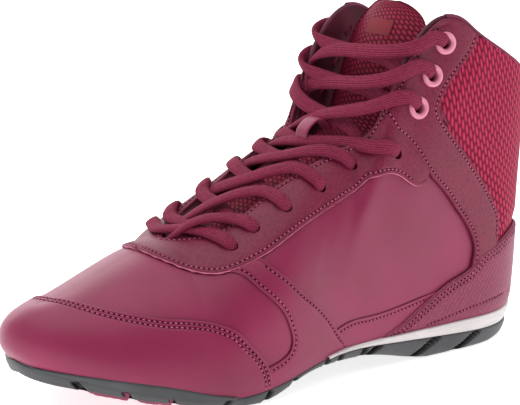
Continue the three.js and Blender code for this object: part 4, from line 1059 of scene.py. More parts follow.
BAND_FOOT = SeamCurve([(0.540, 0.0), (0.258, 0.0)])
SADDLE_FRONT = SeamCurve([(0.722, 0.700), (0.711, 0.661), (0.686, 0.520), (0.659, 0.396), (0.631, 0.283),
                          (0.616, 0.198), (0.611, 0.150), (0.616, 0.115), (0.632, 0.100), (0.652, 0.097),
                          (0.700, 0.090)])
SADDLE_PLACES = [(0.682, 0.660), (0.673, 0.619), (0.656, 0.535), (0.632, 0.450), (0.597, 0.336), (0.559, 0.245),
                 (0.517, 0.144), (0.489, 0.062), (0.457, 0.000)]
SADDLE_REAR = SeamCurve(SADDLE_PLACES)
SADDLE_BACK = SeamCurve(SADDLE_PLACES, [(0.457, 0.0), (0.700, 0.0)])
MESH_FRONT = SeamCurve([(0.150, 0.150), (0.190, 0.350), (0.300, 0.500), (0.400, 0.640), (0.440, 0.760),
                        (0.400, 0.900), (0.370, 1.0)])
MESH_REAR = SeamCurve([(0.0, 0.150), (0.0, 1.0)])
MESH_RIMS = (SeamCurve(COUNTER_REAR), STAY_BACK)

PANELS = {
    "side_band": Panel("side_band", BAND_SEAM, BAND_FOOT, 0.7, (BAND_SEAM,), ((BAND_SEAM, 2.2),),
                       edge_slot=("first",)),
    "saddle": Panel("saddle_panel", SADDLE_FRONT, SADDLE_BACK, 1.0, (SADDLE_FRONT, SADDLE_REAR),
                    ((SADDLE_FRONT, -2.0), (SADDLE_REAR, 2.0)), dense=("first", "second"), edge_slot=("first",)),
    "toe_cap": Panel("toe_cap_leather", TOE_SEAM, TOE_TIP, 1.3, (TOE_SEAM,), ((TOE_SEAM, -1.9), (TOE_SEAM, -3.8)),
                     edge_slot=("first",)),
    "eyestay": Panel("eyestay_leather", EYESTAY_SEAM, EYESTAY_TOP, 1.6, (EYESTAY_SEAM, THROAT_EDGE),
                     ((EYESTAY_SEAM, 2.1), (THROAT_EDGE, -2.4)), dense=("first", "second"), edge_slot=("first",)),
    "stay": Panel("shaft_stay_leather", STAY_FRONT_TOP, STAY_BACK, 2.0, (STAY_FRONT, STAY_BACK, THROAT_EDGE,
                                                                         COLLAR_EDGE),
                  ((STAY_FRONT, 2.1), (STAY_BACK, -2.1), (THROAT_EDGE, -2.4)),
                  dense=("first", "second", "end"), edge_slot=("first",)),
    "counter": Panel("heel_counter_leather", COUNTER_SEAM, COUNTER_FOOT, 2.4, (COUNTER_SEAM,),
                     ((COUNTER_SEAM, -2.0), (COUNTER_SEAM, -3.9), (COUNTER_LOW, 0.0)), edge_slot=("first",)),
}


# ---- Upper, holes and stitches ----


def punch(obj: bpy.types.Object, centre: Vector, normal: Vector, radius: float, depth: float,
          wall_slot: int = 0) -> None:
    """Cuts a clean round hole through a dense sheet.

    Args:
        obj: the sheet.
        centre: middle of the hole.
        normal: the hole's axis, pointing out.
        radius: its radius.
        depth: how far the hole's wall goes in, or 0 for none.
        wall_slot: material index of the wall.
    """
    bm = bmesh.new()
    bm.from_mesh(obj.data)

    def offset(co: Vector) -> tuple[float, Vector]:
        """Height along the axis, and the vector across it."""
        gap = co - centre
        height = gap.dot(normal)
        return height, gap - normal * height

    def near(face: bmesh.types.BMFace, reach: float) -> bool:
        """Whether a face lies within reach of the axis and on this wall."""
        height, flat = offset(face.calc_center_median())
        return abs(height) < 4 * MM and flat.length < reach and face.normal.dot(normal) ** 2 > 0.2

    edges = {edge for face in bm.faces if near(face, radius * 1.9) for edge in face.edges}
    bmesh.ops.subdivide_edges(bm, edges=list(edges), cuts=2, use_grid_fill=True)
    gone = [face for face in bm.faces if near(face, radius)]
    bmesh.ops.delete(bm, geom=gone, context="FACES")
    rim = []
    for edge in bm.edges:
        if edge.is_boundary:
            height, flat = offset((edge.verts[0].co + edge.verts[1].co) / 2)
            if abs(height) < 4 * MM and flat.length < radius * 1.45:
                rim.append(edge)
    for vert in {v for edge in rim for v in edge.verts}:
        height, flat = offset(vert.co)
        vert.co = centre + normal * height + flat.normalized() * radius
    if depth and rim:
        made = bmesh.ops.extrude_edge_only(bm, edges=rim)["geom"]
        for item in made:
            if isinstance(item, bmesh.types.BMVert):
                item.co -= normal * depth
            elif isinstance(item, bmesh.types.BMFace):
                item.material_index = wall_slot
                item.smooth = True
    bm.to_mesh(obj.data)
    bm.free()


@dataclass
class Eyelets:
    """Places of the lace holes on the last."""

    last: Last

    RING_HOLE_MM, PLAIN_HOLE_MM = 3.3, 2.2

    def frame(self, row: int, side: int, off_mm: float = 0.0) -> tuple[Vector, Vector]:
        """Middle of a hole at a height over the upper's face, and its axis."""
        share, phi, _, _ = EYELETS[row]
        u = float(self.last.turn(share))
        normal = self.last.normal(np.array(u), np.array(phi), side)
        point = self.last.point(np.array(u), np.array(phi), side) + normal * off_mm * MM
        return Vector(point.tolist()), Vector(normal.tolist())

    def punch_all(self, obj: bpy.types.Object, rows: Iterable[int], off_mm: float, depth_mm: float,
                  wall_slot: int = 0) -> None:
        """Cuts the holes of some rows on both sides."""
        for row in rows:
            for side in Side:
                centre, normal = self.frame(row, side, off_mm)
                radius = self.RING_HOLE_MM if EYELETS[row][3] else self.PLAIN_HOLE_MM
                punch(obj, centre, normal, radius * MM, depth_mm * MM, wall_slot)


class UpperShell(SubAssembly):
    """Outer face, rolled top edge and lining of the upper."""

    WALL = 2.4 * MM
    MESH_PUFF = 1.3

    def _stations(self, rear: int, front: int) -> np.ndarray:
        """Stations from the heel to the toe, with one at the throat's front."""
        return np.concatenate([np.linspace(0, self.last.front, rear + 1)[:-1],
                               np.linspace(self.last.front, 1, front + 1)])

    def _face(self, side: int) -> Grid:
        """Outer face of one side."""
        last = self.last
        stations = self._stations(150, 70)
        shares = np.linspace(0, 1, 84)
        u, phi = np.meshgrid(stations, shares, indexing="ij")
        base = last.point(u, phi, side)
        points = last.skin(u, phi, side, CREASES.lift(base))
        return Grid(points, self._flat(points), flip=side > 0)

    @staticmethod
    def _flat(points: np.ndarray) -> np.ndarray:
        """Flat map in metres: length along the middle row, and length up each rib."""
        up = row_lengths(points)
        middle = points[:, points.shape[1] // 2]
        along = np.broadcast_to(arc_lengths(middle)[:, None], up.shape)
        return np.stack([along, up], -1)

    def _lining(self, side: int) -> Grid:
        """Inner face of one side."""
        last = self.last
        u, phi = np.meshgrid(self._stations(80, 30), np.linspace(0, 1, 34), indexing="ij")
        points = last.skin(u, phi, side, CREASES.lift(last.point(u, phi, side)) - self.WALL)
        return Grid(points, self._flat(points), flip=side < 0)

    def _rim(self, side: int, shares: Sequence[float], height: Callable[[np.ndarray], np.ndarray]) -> Grid:
        """Rolled edge along the collar and throat between two shares of length."""
        last = self.last
        line = SeamCurve([(shares[0], 1.0), (shares[1], 1.0)])
        u = line.places(last, side, 220)[:, 0]
        phi = np.ones_like(u)
        top = last.point(u, phi, side)
        normal = last.normal(u, phi, side)
        normal[-1] = unit(normal[-1]) if shares[1] < last.throat_front else normal[-1]
        tangent = unit(np.gradient(top, axis=0))
        outward = np.cross(side * normal, tangent)
        if shares[1] >= last.throat_front:
            outward[-1] = (1.0, 0.0, 0.0)
        if shares[0] <= 0:
            outward[0] = unit(outward[0] * np.array([1.0, 0.0, 1.0]))
        outward = unit(outward)
        angle = np.linspace(0, np.pi, 11)
        high = height(u)[:, None, None]
        low = -self.WALL
        middle = (high + low) / 2
        radius = (high - low) / 2
        points = (top[:, None, :] + normal[:, None, :] * (middle + radius * np.cos(angle)[None, :, None])
                  + outward[:, None, :] * (np.minimum(radius, 1.7 * MM) * np.sin(angle)[None, :, None]))
        return Grid(points, self._flat(points), flip=side > 0)

    def build(self) -> list[bpy.types.Object]:
        """Makes the shell's pieces."""
        faces = mesh_from_grids("vamp_and_quarter_leather", [self._face(side) for side in Side])
        linings = mesh_from_grids("shaft_lining", [self._lining(side) for side in Side])
        throat = mesh_from_grids("throat_edge_fold", [
            self._rim(side, (0.404, 0.745), lambda u: np.full(u.shape, 0.1 * MM)) for side in Side])
        collar = mesh_from_grids("collar_edge_tape", [
            self._rim(side, (0.0, 0.412), lambda u: np.full(u.shape, 1.3 * MM)) for side in Side])
        finish_piece(faces, [self.wardrobe["smooth"], self.wardrobe["dark_edge"]], ["upper"])
        finish_piece(linings, [self.wardrobe["lining"]])
        finish_piece(throat, [self.wardrobe["binding"]])
        finish_piece(collar, [self.wardrobe["tape"]])
        Eyelets(self.last).punch_all(faces, PLAIN + RINGED, 0.0, 0.0)
        return [faces, linings, throat, collar]


class MeshQuarter(SubAssembly):
    """Padded mesh panel of the ankle, between counter, stay and collar."""

    def build(self) -> bpy.types.Object:
        """Makes the panel on both sides as one piece."""
        last = self.last
        panel = Panel("mesh", MESH_FRONT, MESH_REAR, 0.35, MESH_RIMS, puff_mm=1.2, dense=())
        grids = []
        for side in Side:
            t = np.linspace(0, 1, 90)
            phi = 0.14 + 0.86 * t
            front = np.interp(phi, [0.14, 0.35, 0.50, 0.64, 0.72, 0.78, 0.90, 1.0],
                              [0.135, 0.165, 0.270, 0.385, 0.405, 0.400, 0.368, 0.338])
            u = last.turn(front)[:, None] * np.linspace(0, 1, 110)[None, :]
            phi_grid = np.broadcast_to(phi[:, None], u.shape)
            points = last.skin(u, phi_grid, side, panel.lift(last, u, phi_grid, side))
            along = row_lengths(points)
            up = np.broadcast_to(arc_lengths(points[:, 40])[:, None], along.shape)
            grids.append(Grid(points, np.stack([along, up], -1), flip=side < 0))
        obj = mesh_from_grids("ankle_mesh_panel", grids)
        finish_piece(obj, [self.wardrobe["mesh"]])
        return obj


class Overlays(SubAssembly):
    """Leather panels sewn on the upper."""

    FINISH = {
        "side_band": ("smooth_leather", "smooth", "dark_edge", ["side_band_outer", "side_band_inner"]),
        "saddle": ("smooth_leather", "smooth", "dark_edge", []),
        "toe_cap": ("smooth_leather", "smooth", "soft_edge", ["toe_cap"]),
        "eyestay": ("grained_leather", "grain", "pale_edge", ["eyestay"]),
        "stay": ("grained_leather", "grain", "dark_edge", ["shaft_stay_outer", "shaft_stay_inner"]),
        "counter": ("grained_leather", "counter", "soft_edge", ["heel_counter"]),
    }
    HOLES = {"eyestay": PLAIN, "stay": RINGED}

    def build(self) -> list[bpy.types.Object]:
        """Makes every panel."""
        made = []
        for key, panel in PANELS.items():
            slot, face, edge, nodes = self.FINISH[key]
            obj = mesh_from_grids(panel.name, [panel.grid(self.last, side) for side in Side])
            finish_piece(obj, [self.wardrobe[face], self.wardrobe[edge], self.wardrobe["pinhole"]], nodes)
            if key in self.HOLES:
                # painted shade: the walls of the punched lace holes take the dark hole material in slot 2
                Eyelets(self.last).punch_all(obj, self.HOLES[key], panel.height_mm, panel.height_mm + 1.2, 2)
            made.append(obj)
        return made


@dataclass(frozen=True)
class StitchStyle:
    """Length, thickness and pitch of a stitch, size of its needle hole and width of the painted shade strip along its
    row, in mm.
    """

    pitch: float = 2.3
    long: float = 1.45
    wide: float = 0.66
    hole: float = 0.62
    furrow: float = 1.15


@dataclass
class Stitching(SubAssembly):
    """Sewn rows: rounded thread between needle holes drawn as dark discs of painted shade, over a dark strip of painted
    shade along each row.
    """

    style: StitchStyle = StitchStyle()
    ROWS = (
        ("toe_cap", TOE_SEAM, -1.9, (0.0, 1.0)),
        ("toe_cap", TOE_SEAM, -3.8, (0.0, 1.0)),
        ("eyestay", EYESTAY_SEAM, 2.1, (0.05, 1.0)),
        ("eyestay", THROAT_EDGE, -2.4, (0.28, 1.0)),
        ("stay", STAY_FRONT, 2.1, (0.08, 0.99)),
        ("stay", STAY_BACK, -2.1, (0.10, 0.98)),
        ("stay", THROAT_EDGE, -2.4, (0.035, 0.27)),
        ("counter", COUNTER_SEAM, -2.0, (0.0, 0.97)),
        ("counter", COUNTER_SEAM, -3.9, (0.0, 0.93)),
        ("counter", COUNTER_LOW, 0.0, (0.0, 1.0)),
        ("saddle", SADDLE_FRONT, -2.0, (0.06, 0.94)),
        ("saddle", SADDLE_REAR, 2.0, (0.08, 0.97)),
        ("side_band", BAND_SEAM, 2.2, (0.18, 0.88)),
    )

    def _thread(self) -> tuple[np.ndarray, list[list[int]]]:
        """One stitch along X with its underside at z = 0."""
        rings, corners = 5, 5
        places = np.array([-0.5, -0.36, 0.0, 0.36, 0.5]) * self.style.long * MM
        widths = np.array([0.18, 0.85, 1.0, 0.85, 0.18]) * self.style.wide * MM / 2
        angle = 2 * np.pi * np.arange(corners) / corners
        ring = np.stack([np.zeros(corners), np.cos(angle), np.sin(angle) * 0.8], -1)
        verts = np.concatenate([ring * w + np.array([x, 0, w * 0.45 + 0.05 * MM]) for x, w in zip(places, widths)])
        faces = [[i * corners + k, (i + 1) * corners + k, (i + 1) * corners + (k + 1) % corners,
                  i * corners + (k + 1) % corners] for i in range(rings - 1) for k in range(corners)]
        faces += [list(range(corners)), [(rings - 1) * corners + k for k in reversed(range(corners))]]
        return verts, [face[::-1] for face in faces]

    def _hole(self) -> tuple[np.ndarray, list[list[int]]]:
        """One needle hole: a small sunk disc that carries the hole's painted shade."""
        corners = 8
        angle = 2 * np.pi * np.arange(corners) / corners
        disc = np.stack([np.cos(angle), np.sin(angle) * 0.8, np.zeros(corners)], -1) * self.style.hole * MM
        return disc + np.array([0, 0, 0.18 * MM]), [list(range(corners))]

    def _stamp(self, name: str, template: tuple[np.ndarray, list[list[int]]],
               frames: list[np.ndarray]) -> bpy.types.Object:
        """Copies of a template at frames (4 rows: place, along, across, out)."""
        verts, faces = template
        where = np.array(frames)
        co = where[:, None, 0] + (verts[None, :, :, None] * where[:, None, 1:]).sum(2)
        index = [[corner + i * len(verts) for corner in face] for i in range(len(where)) for face in faces]
        mesh = bpy.data.meshes.new(name)
        mesh.from_pydata(co.reshape(-1, 3).tolist(), [], index)
        mesh.polygons.foreach_set("use_smooth", [True] * len(index))
        mesh.update()
        obj = bpy.data.objects.new(name, mesh)
        bpy.context.scene.collection.objects.link(obj)
        return obj

    def build(self) -> list[bpy.types.Object]:
        """Makes all threads, all needle holes and the painted shade strips along the rows."""
        threads, holes, seam_shade_strips = [], [], []
        for key, line, inset, (start, stop) in self.ROWS:
            for side in Side:
                points, normals = PANELS[key].seam_line(self.last, side, line, inset)
                length = arc_lengths(points)
                count = max(2, int(length[-1] * (stop - start) / (self.style.pitch * MM)))
                marks = length[-1] * (start + (stop - start) * np.arange(count * 2 + 1) / (2 * count))
                place = resampled(marks, length, points)
                out = unit(resampled(marks, length, normals))
                along = unit(np.gradient(place, axis=0))
                along = unit(along - out * (along * out).sum(-1, keepdims=True))
                across = np.cross(out, along)
                frames = np.stack([place, along, across, out], 1)
                threads.extend(frames[1::2])
                holes.extend(frames[0::2])
                # painted shade: a dark strip just over the face along the row, for the shadow in the furrow
                reach = np.linspace(-0.5, 0.5, 3)[None, :, None] * self.style.furrow * MM
                strip = (place + out * 0.14 * MM)[:, None, :] + across[:, None, :] * reach
                seam_shade_strips.append(Grid(strip, strip[..., :2], flip=True))
        thread = self._stamp("seam_threads", self._thread(), threads)
        hole = self._stamp("needle_hole_shade_discs", self._hole(), holes)
        furrow = mesh_from_grids("painted_seam_shade_strips", seam_shade_strips, 0)
        finish_piece(thread, [self.wardrobe["thread"]])
        finish_piece(hole, [self.wardrobe["pinhole"]])
        finish_piece(furrow, [self.wardrobe["furrow"]])
        return [thread, hole, furrow]


class EyeletRings(SubAssembly):
    """Six moulded rings round the upper lace holes."""

    PROFILE = ((2.75, -3.4), (2.7, 0.0), (2.78, 0.7), (3.1, 1.15), (3.7, 1.45), (4.3, 1.4), (4.9, 1.05),
               (5.25, 0.5), (5.3, 0.0), (5.25, -0.5))

    def build(self) -> list[bpy.types.Object]:
        """Makes the rings of both sides."""
        made = []
        for side in Side:
            word = side.name.lower()
            for number, row in enumerate(RINGED, 1):
                centre, normal = Eyelets(self.last).frame(row, side, 2.0)
                spin = normal.to_track_quat("Z", "Y").to_matrix().to_4x4()
                matrix = Matrix.Translation(centre) @ spin
                angle = 2 * np.pi * np.arange(40) / 40
                rings = [[matrix @ Vector((r * MM * math.cos(a), r * MM * math.sin(a), z * MM)) for a in angle]
                         for r, z in self.PROFILE]
                points = np.array(rings)
                flat = np.zeros(points.shape[:2] + (2,))
                obj = mesh_from_grids(f"moulded_ring_{word}_{number}", [Grid(points, flat, wrap=True, flip=True)], 0)
                finish_piece(obj, [self.wardrobe["ring"]], [f"eyelet_ring_{word}_{number}"])
                made.append(obj)
        return made


# ---- Tongue, keeper and laces ----

# Middle line of the tongue's face: along as share of sole length, middle of ball width, up of
# instep height, half width of collar width, thickness of instep height, dome in mm
TONGUE = [
    (0.772, 0.085, 0.890, 0.16, 0.035, 2.0),
    (0.721, 0.085, 0.925, 0.22, 0.040, 2.5),
    (0.669, 0.074, 1.015, 0.30, 0.045, 4.0),
    (0.588, 0.043, 1.225, 0.34, 0.050, 6.0),
    (0.496, 0.021, 1.460, 0.36, 0.060, 8.0),
    (0.419, 0.011, 1.610, 0.37, 0.070, 9.0),
    (0.370, 0.000, 1.690, 0.38, 0.080, 9.5),
    (0.346, 0.000, 1.890, 0.38, 0.095, 9.5),
    (0.325, 0.000, 2.120, 0.37, 0.100, 8.5),
    (0.301, 0.000, 2.350, 0.37, 0.100, 8.0),
    (0.280, 0.000, 2.510, 0.34, 0.080, 8.0),
    (0.268, 0.000, 2.590, 0.30, 0.050, 8.0),
]


@dataclass
class Tongue(SubAssembly):
    """Padded mesh tongue with a plain woven patch at its top."""

    def __post_init__(self) -> None:
        """Makes the tongue's curves."""
        knots = [row / (len(TONGUE) - 1) for row in range(len(TONGUE))]
        self.columns = [natural_spline(knots, [row[i] for row in TONGUE]) for i in range(6)]

    def place(self, t: np.ndarray, across: np.ndarray, depth: np.ndarray) -> np.ndarray:
        """Point of the tongue at a share along it, a share across it and a depth under its face."""
        last = self.last
        t, across, depth = np.broadcast_arrays(np.asarray(t, float), across, depth)
        along, middle, up, half, _, dome = [column(t) for column in self.columns]
        step = 2e-3
        low, high = np.clip(t - step, 0, 1), np.clip(t + step, 0, 1)
        run = (self.columns[0](high) - self.columns[0](low)) * last.sole_length
        climb = (self.columns[2](high) - self.columns[2](low)) * last.instep_height
        length = np.hypot(run, climb)
        out_s, out_z = climb / length, -run / length
        drop = dome * MM * across**2 + depth
        s = along * last.sole_length - out_s * drop
        z = up * last.instep_height - out_z * drop
        y = middle * last.ball_width + across * half * last.collar_width
        return np.stack([last.sole_length / 2 - s, y, z], -1)

    def build(self) -> list[bpy.types.Object]:
        """Makes the tongue and its patch."""
        last = self.last
        rows, around = 130, 64
        t = np.linspace(0, 1, rows)[:, None]
        angle = np.linspace(0, 2 * np.pi, around, endpoint=False)[None, :]
        across = np.sign(np.cos(angle)) * np.abs(np.cos(angle)) ** 0.75
        level = np.sin(angle)
        end = np.clip((1 - t) / 0.05, 0, 1)
        close = np.sqrt(np.clip(1 - (1 - end) ** 2, 0, 1))
        dome = np.sqrt(np.clip(1 - (1 - np.clip((1 - t) / 0.17, 0, 1)) ** 2, 0, 1))
        thick = self.columns[4](t) * last.instep_height * np.sqrt(np.clip(1 - np.abs(across) ** 5, 0, 1))
        quilt = 0.4 * MM * np.cos(2 * np.pi * t * 5.0) * np.clip(level, 0, 1) * (1 - across**2)
        depth = thick * (0.5 - 0.5 * level * close) - quilt
        points = self.place(t, across * (0.30 + 0.70 * dome), depth)
        flat = np.stack(np.broadcast_arrays(arc_lengths(points[:, 0])[:, None],
                                            across * 0.36 * last.collar_width), -1)
        shell = Grid(points, flat, wrap=True, flip=False)
        cap = points[-1]
        inner = cap.mean(0) + (cap - cap.mean(0)) * 0.02
        lid = Grid(np.stack([cap, inner]), np.stack([flat[-1], flat[-1]]), wrap=True)
        obj = mesh_from_grids("padded_tongue", [shell, lid])
        finish_piece(obj, [self.wardrobe["tongue_mesh"]], ["tongue"])
        grid_t, grid_a = np.meshgrid(np.linspace(0.815, 0.868, 8), np.linspace(-0.36, 0.32, 14), indexing="ij")
        patch_points = self.place(grid_t, grid_a, np.full(grid_t.shape, -0.5 * MM))
        patch = mesh_from_grids("plain_woven_patch", [Grid(patch_points, np.stack([grid_t, grid_a], -1), flip=True)])
        finish_piece(patch, [self.wardrobe["patch"]])
        return [obj, patch]


@dataclass(frozen=True)
class LaceSize:
    """Sizes of the lace and its path, in mm."""

    width: float = 6.7
    thick: float = 2.9
    lift: float = 3.2
    crown_lift: float = 2.6
    duck: float = -5.2


@dataclass
class Laces(SubAssembly):
    """Lace that rises from each hole, crosses the tongue and dives under the other side."""

    size: LaceSize = LaceSize()

    STEPS, SIDES = 64, 16
    # Narrowing of the cord where it leaves its hole, and the heights of the strand from the
    # outer side, over the one from the inner side
    PINCH, PINCH_AT_MM, PINCH_RUN_MM = 0.38, 2.5, 3.0
    OVER_MM, UNDER_MM = 2.4, -0.4

    def _on(self, share: float, phi: float, side: int, off_mm: float) -> tuple[np.ndarray, np.ndarray]:
        """Point over the upper and the normal there."""
        u, v = np.array(float(self.last.turn(share))), np.array(phi)
        normal = self.last.normal(u, v, side)
        return self.last.point(u, v, side) + normal * off_mm * MM, normal

    @staticmethod
    def _forward(row: int, side: int) -> float:
        """How much nearer the toe a strand crosses the edge on the inner side, as a share."""
        return 0.018 if side > 0 and row < 6 else 0.0

    def _rise(self, row: int, side: int) -> list[tuple[np.ndarray, np.ndarray]]:
        """Path from inside a hole up to the throat's edge."""
        share, phi, edge, ring = EYELETS[row]
        edge += self._forward(row, side)
        lift = self.size.lift + (0.9 if ring else 0.0)
        steps = [(-0.02, -3.0), (0.02, 0.3), (0.14, lift - 0.5), (0.45, lift), (0.85, lift)]
        return [self._on(share + (edge - share) * part, phi + (1 - phi) * part, side, off) for part, off in steps]

    def _strand(self, row: int, side: int, over_mm: float) -> Grid:
        """One strand from its hole to under the other side, one row lower."""
        rise = self._rise(row, side)
        far = -side
        lower = max(row - 1, 0)
        _, _, edge, ringed = EYELETS[lower]
        edge += self._forward(lower, far)
        if row == 0:
            dive = [(p, n) for p, n in reversed(self._rise(0, far))]
        else:
            beyond = 0.86 if ringed else 0.92
            dive = [self._on(edge, 1.0, far, self.size.duck + 3.2), self._on(edge - 0.004, beyond, far, self.size.duck)]
        up = unit(rise[-1][1] + dive[0][1])
        middle = (rise[-1][0] + dive[0][0]) / 2 + up * (self.size.crown_lift + over_mm) * MM
        if row == 0:
            middle = middle - up * 1.5 * MM
        places = [p for p, _ in rise] + [middle] + [p for p, _ in dive]
        ups = [n for _, n in rise] + [up] + [n for _, n in dive]
        path = smooth_path(places, self.STEPS)
        key = arc_lengths(np.array(places))
        at = np.linspace(0, key[-1], self.STEPS)
        turned = unit(resampled(at, key, np.array(ups)))
        from_hole = np.linspace(0, 1, self.STEPS) * arc_lengths(path)[-1] / MM
        pinch = 1 - self.PINCH * np.exp(-((from_hole - self.PINCH_AT_MM) / self.PINCH_RUN_MM) ** 2)
        width = self.size.width * MM * pinch
        thick = self.size.thick * MM * (1 + (1 - pinch) * 0.5)
        return sweep(path, turned, width, thick, self.SIDES)

    def build(self) -> bpy.types.Object:
        """Makes every strand as one piece."""
        grids = [self._strand(0, Side.OUTER, 0.0)]
        for row in range(1, len(EYELETS)):
            grids.append(self._strand(row, Side.OUTER, self.OVER_MM))
            grids.append(self._strand(row, Side.INNER, self.UNDER_MM))
        obj = mesh_from_grids("knitted_lace_strands", grids, 0)
        return finish_piece(obj, [self.wardrobe["lace"]], ["laces"])


class Keeper(SubAssembly):
    """Smooth leather loop on the tongue that one lace crossing runs under."""

    def build(self) -> bpy.types.Object:
        """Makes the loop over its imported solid's place."""
        low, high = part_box("lace_keeper")
        low, high = np.array(low), np.array(high)
        middle = (low + high) / 2 + np.array([-3.5, 0.0, -1.0]) * MM
        slope = np.array([0.80, 0.0, 0.60])
        out = np.array([-0.60, 0.0, 0.80])
        path = [(-7.5, -4.5), (-6.6, 0.5), (-4.6, 3.6), (-1.5, 4.6), (1.5, 4.6), (4.6, 3.6), (6.6, 0.5), (7.5, -4.5)]
        points = [middle + (slope * a + out * b) * MM for a, b in path]
        line = smooth_path(points, 48)
        centre = middle - out * 3.0 * MM
        ups = unit(line - centre)
        ups[:, 1] = 0
        grid = sweep(line, unit(ups), np.full(48, 8.0 * MM), np.full(48, 1.3 * MM), 20, 5.0)
        obj = mesh_from_grids("leather_lace_loop", [grid], 0)
        return finish_piece(obj, [self.wardrobe["smooth"]], ["lace_keeper"])


# ---- Sole ----

# Underside of the outsole: share of sole length, arch, bevel and toe shares
UNDERSIDE = [
    (0.000, 0.00, 1.00, 0.00),
    (0.030, 0.00, 0.62, 0.00),
    (0.070, 0.00, 0.20, 0.00),
    (0.110, 0.00, 0.00, 0.00),
    (0.265, 0.00, 0.00, 0.00),
    (0.310, 0.22, 0.00, 0.00),
    (0.400, 0.82, 0.00, 0.00),
    (0.490, 1.00, 0.00, 0.00),
    (0.535, 1.00, 0.00, 0.00),
    (0.585, 0.78, 0.00, 0.00),
    (0.630, 0.28, 0.00, 0.00),
    (0.668, 0.00, 0.00, 0.00),
    (0.740, 0.00, 0.00, 0.00),
    (0.800, 0.00, 0.00, 0.22),
    (0.850, 0.00, 0.00, 0.37),
    (0.920, 0.00, 0.00, 0.62),
    (0.970, 0.00, 0.00, 0.76),
    (1.000, 0.00, 0.00, 0.93),
]
# Cuts in the outsole's edge: share of sole length, slant in degrees, and whether it is a long one
GROOVES = [
    (0.204, 64, True),
    (0.305, 64, True),
    (0.420, 66, True),
    (0.434, 40, False),
    (0.491, 40, False),
    (0.524, 36, False),
    (0.603, 34, False),
    (0.661, 30, False),
    (0.738, 30, False),
    (0.815, -30, False),
    (0.881, -30, False),
    (0.941, -30, False),
]
# Rubber lip over the foot's edge: share of sole length, height in mm
TOE_LIP = [(0.0, 0.0), (0.703, 0.0), (0.732, 1.8), (0.774, 3.6), (0.801, 4.4), (0.829, 4.8), (0.878, 4.3), (0.921, 3.5),
           (0.959, 2.2), (0.976, 1.6), (0.991, 0.8), (1.0, 0.5)]
# Foam lip over the foot's edge
HEEL_LIP = [(0.0, 2.6), (0.05, 2.5), (0.14, 2.3), (0.19, 2.2), (0.27, 1.6), (0.35, 1.1), (0.43, 0.6), (0.48, 0.9),
            (0.518, 0.8)]


@dataclass
class SoleShape:
    """Heights and edges of the sole's layers."""

    last: Last
    midsole_heel: float = 5.8 * MM
    midsole_tip: float = 0.7 * MM
    midsole_length: float = 141 * MM
    arch_rise: float = 9 * MM
    heel_bevel: float = 5.5 * MM
    toe_rise: float = 17 * MM
    gap: float = 0.3 * MM
    pad_start: float = 203 * MM
    pad_pitch: float = 17.5 * MM
    pad_length: float = 13 * MM
    pad_drop: float = 1.8 * MM

    def __post_init__(self) -> None:
        """Makes the smooth functions of the table."""
        knots = [float(Last.turn(row[0])) for row in UNDERSIDE]
        self.under = [natural_spline(knots, [row[i] for row in UNDERSIDE]) for i in (1, 2, 3)]

    def underside(self, u: np.ndarray) -> np.ndarray:
        """Height of the tread."""
        arch, bevel, toe = [np.maximum(f(u), 0) for f in self.under]
        flat = (u > float(Last.turn(0.11))) & (u < float(Last.turn(0.265)))
        ball = (u > float(Last.turn(0.668))) & (u < float(Last.turn(0.74)))
        height = arch * self.arch_rise + bevel * self.heel_bevel + toe * self.toe_rise
        return np.where(flat | ball, 0.0, height)

    def top(self, u: np.ndarray) -> np.ndarray:
        """Height of the sole's top edge."""
        return self.last.feather(u) - 0.05 * MM

    def midsole_under(self, u: np.ndarray) -> np.ndarray:
        """Height of the midsole's underside."""
        along = self.last.sole_length * (1 - np.cos(np.pi * u)) / 2
        share = np.minimum(1, along / self.midsole_length)
        return self.top(u) - (self.midsole_heel + (self.midsole_tip - self.midsole_heel) * share**1.3)

    def outsole_top(self, u: np.ndarray) -> np.ndarray:
        """Height of the black rubber's top edge."""
        beyond = u > float(Last.turn(self.midsole_length / self.last.sole_length))
        return np.where(beyond, self.top(u), self.midsole_under(u))

    def ring(self, u: np.ndarray, side: int, inset: np.ndarray, height: np.ndarray) -> np.ndarray:
        """Places inside the foot's outline at given insets and heights."""
        s, y = self.last.edge(u, side)
        out_s, out_y = self.last.outward(u, side)
        middle = self.last.middle(u)
        moved = y - out_y * inset
        moved = np.where(side < 0, np.minimum(moved, middle), np.maximum(moved, middle))
        x = self.last.sole_length / 2 - (s - out_s * inset)
        return np.stack(np.broadcast_arrays(x, moved, height), -1)


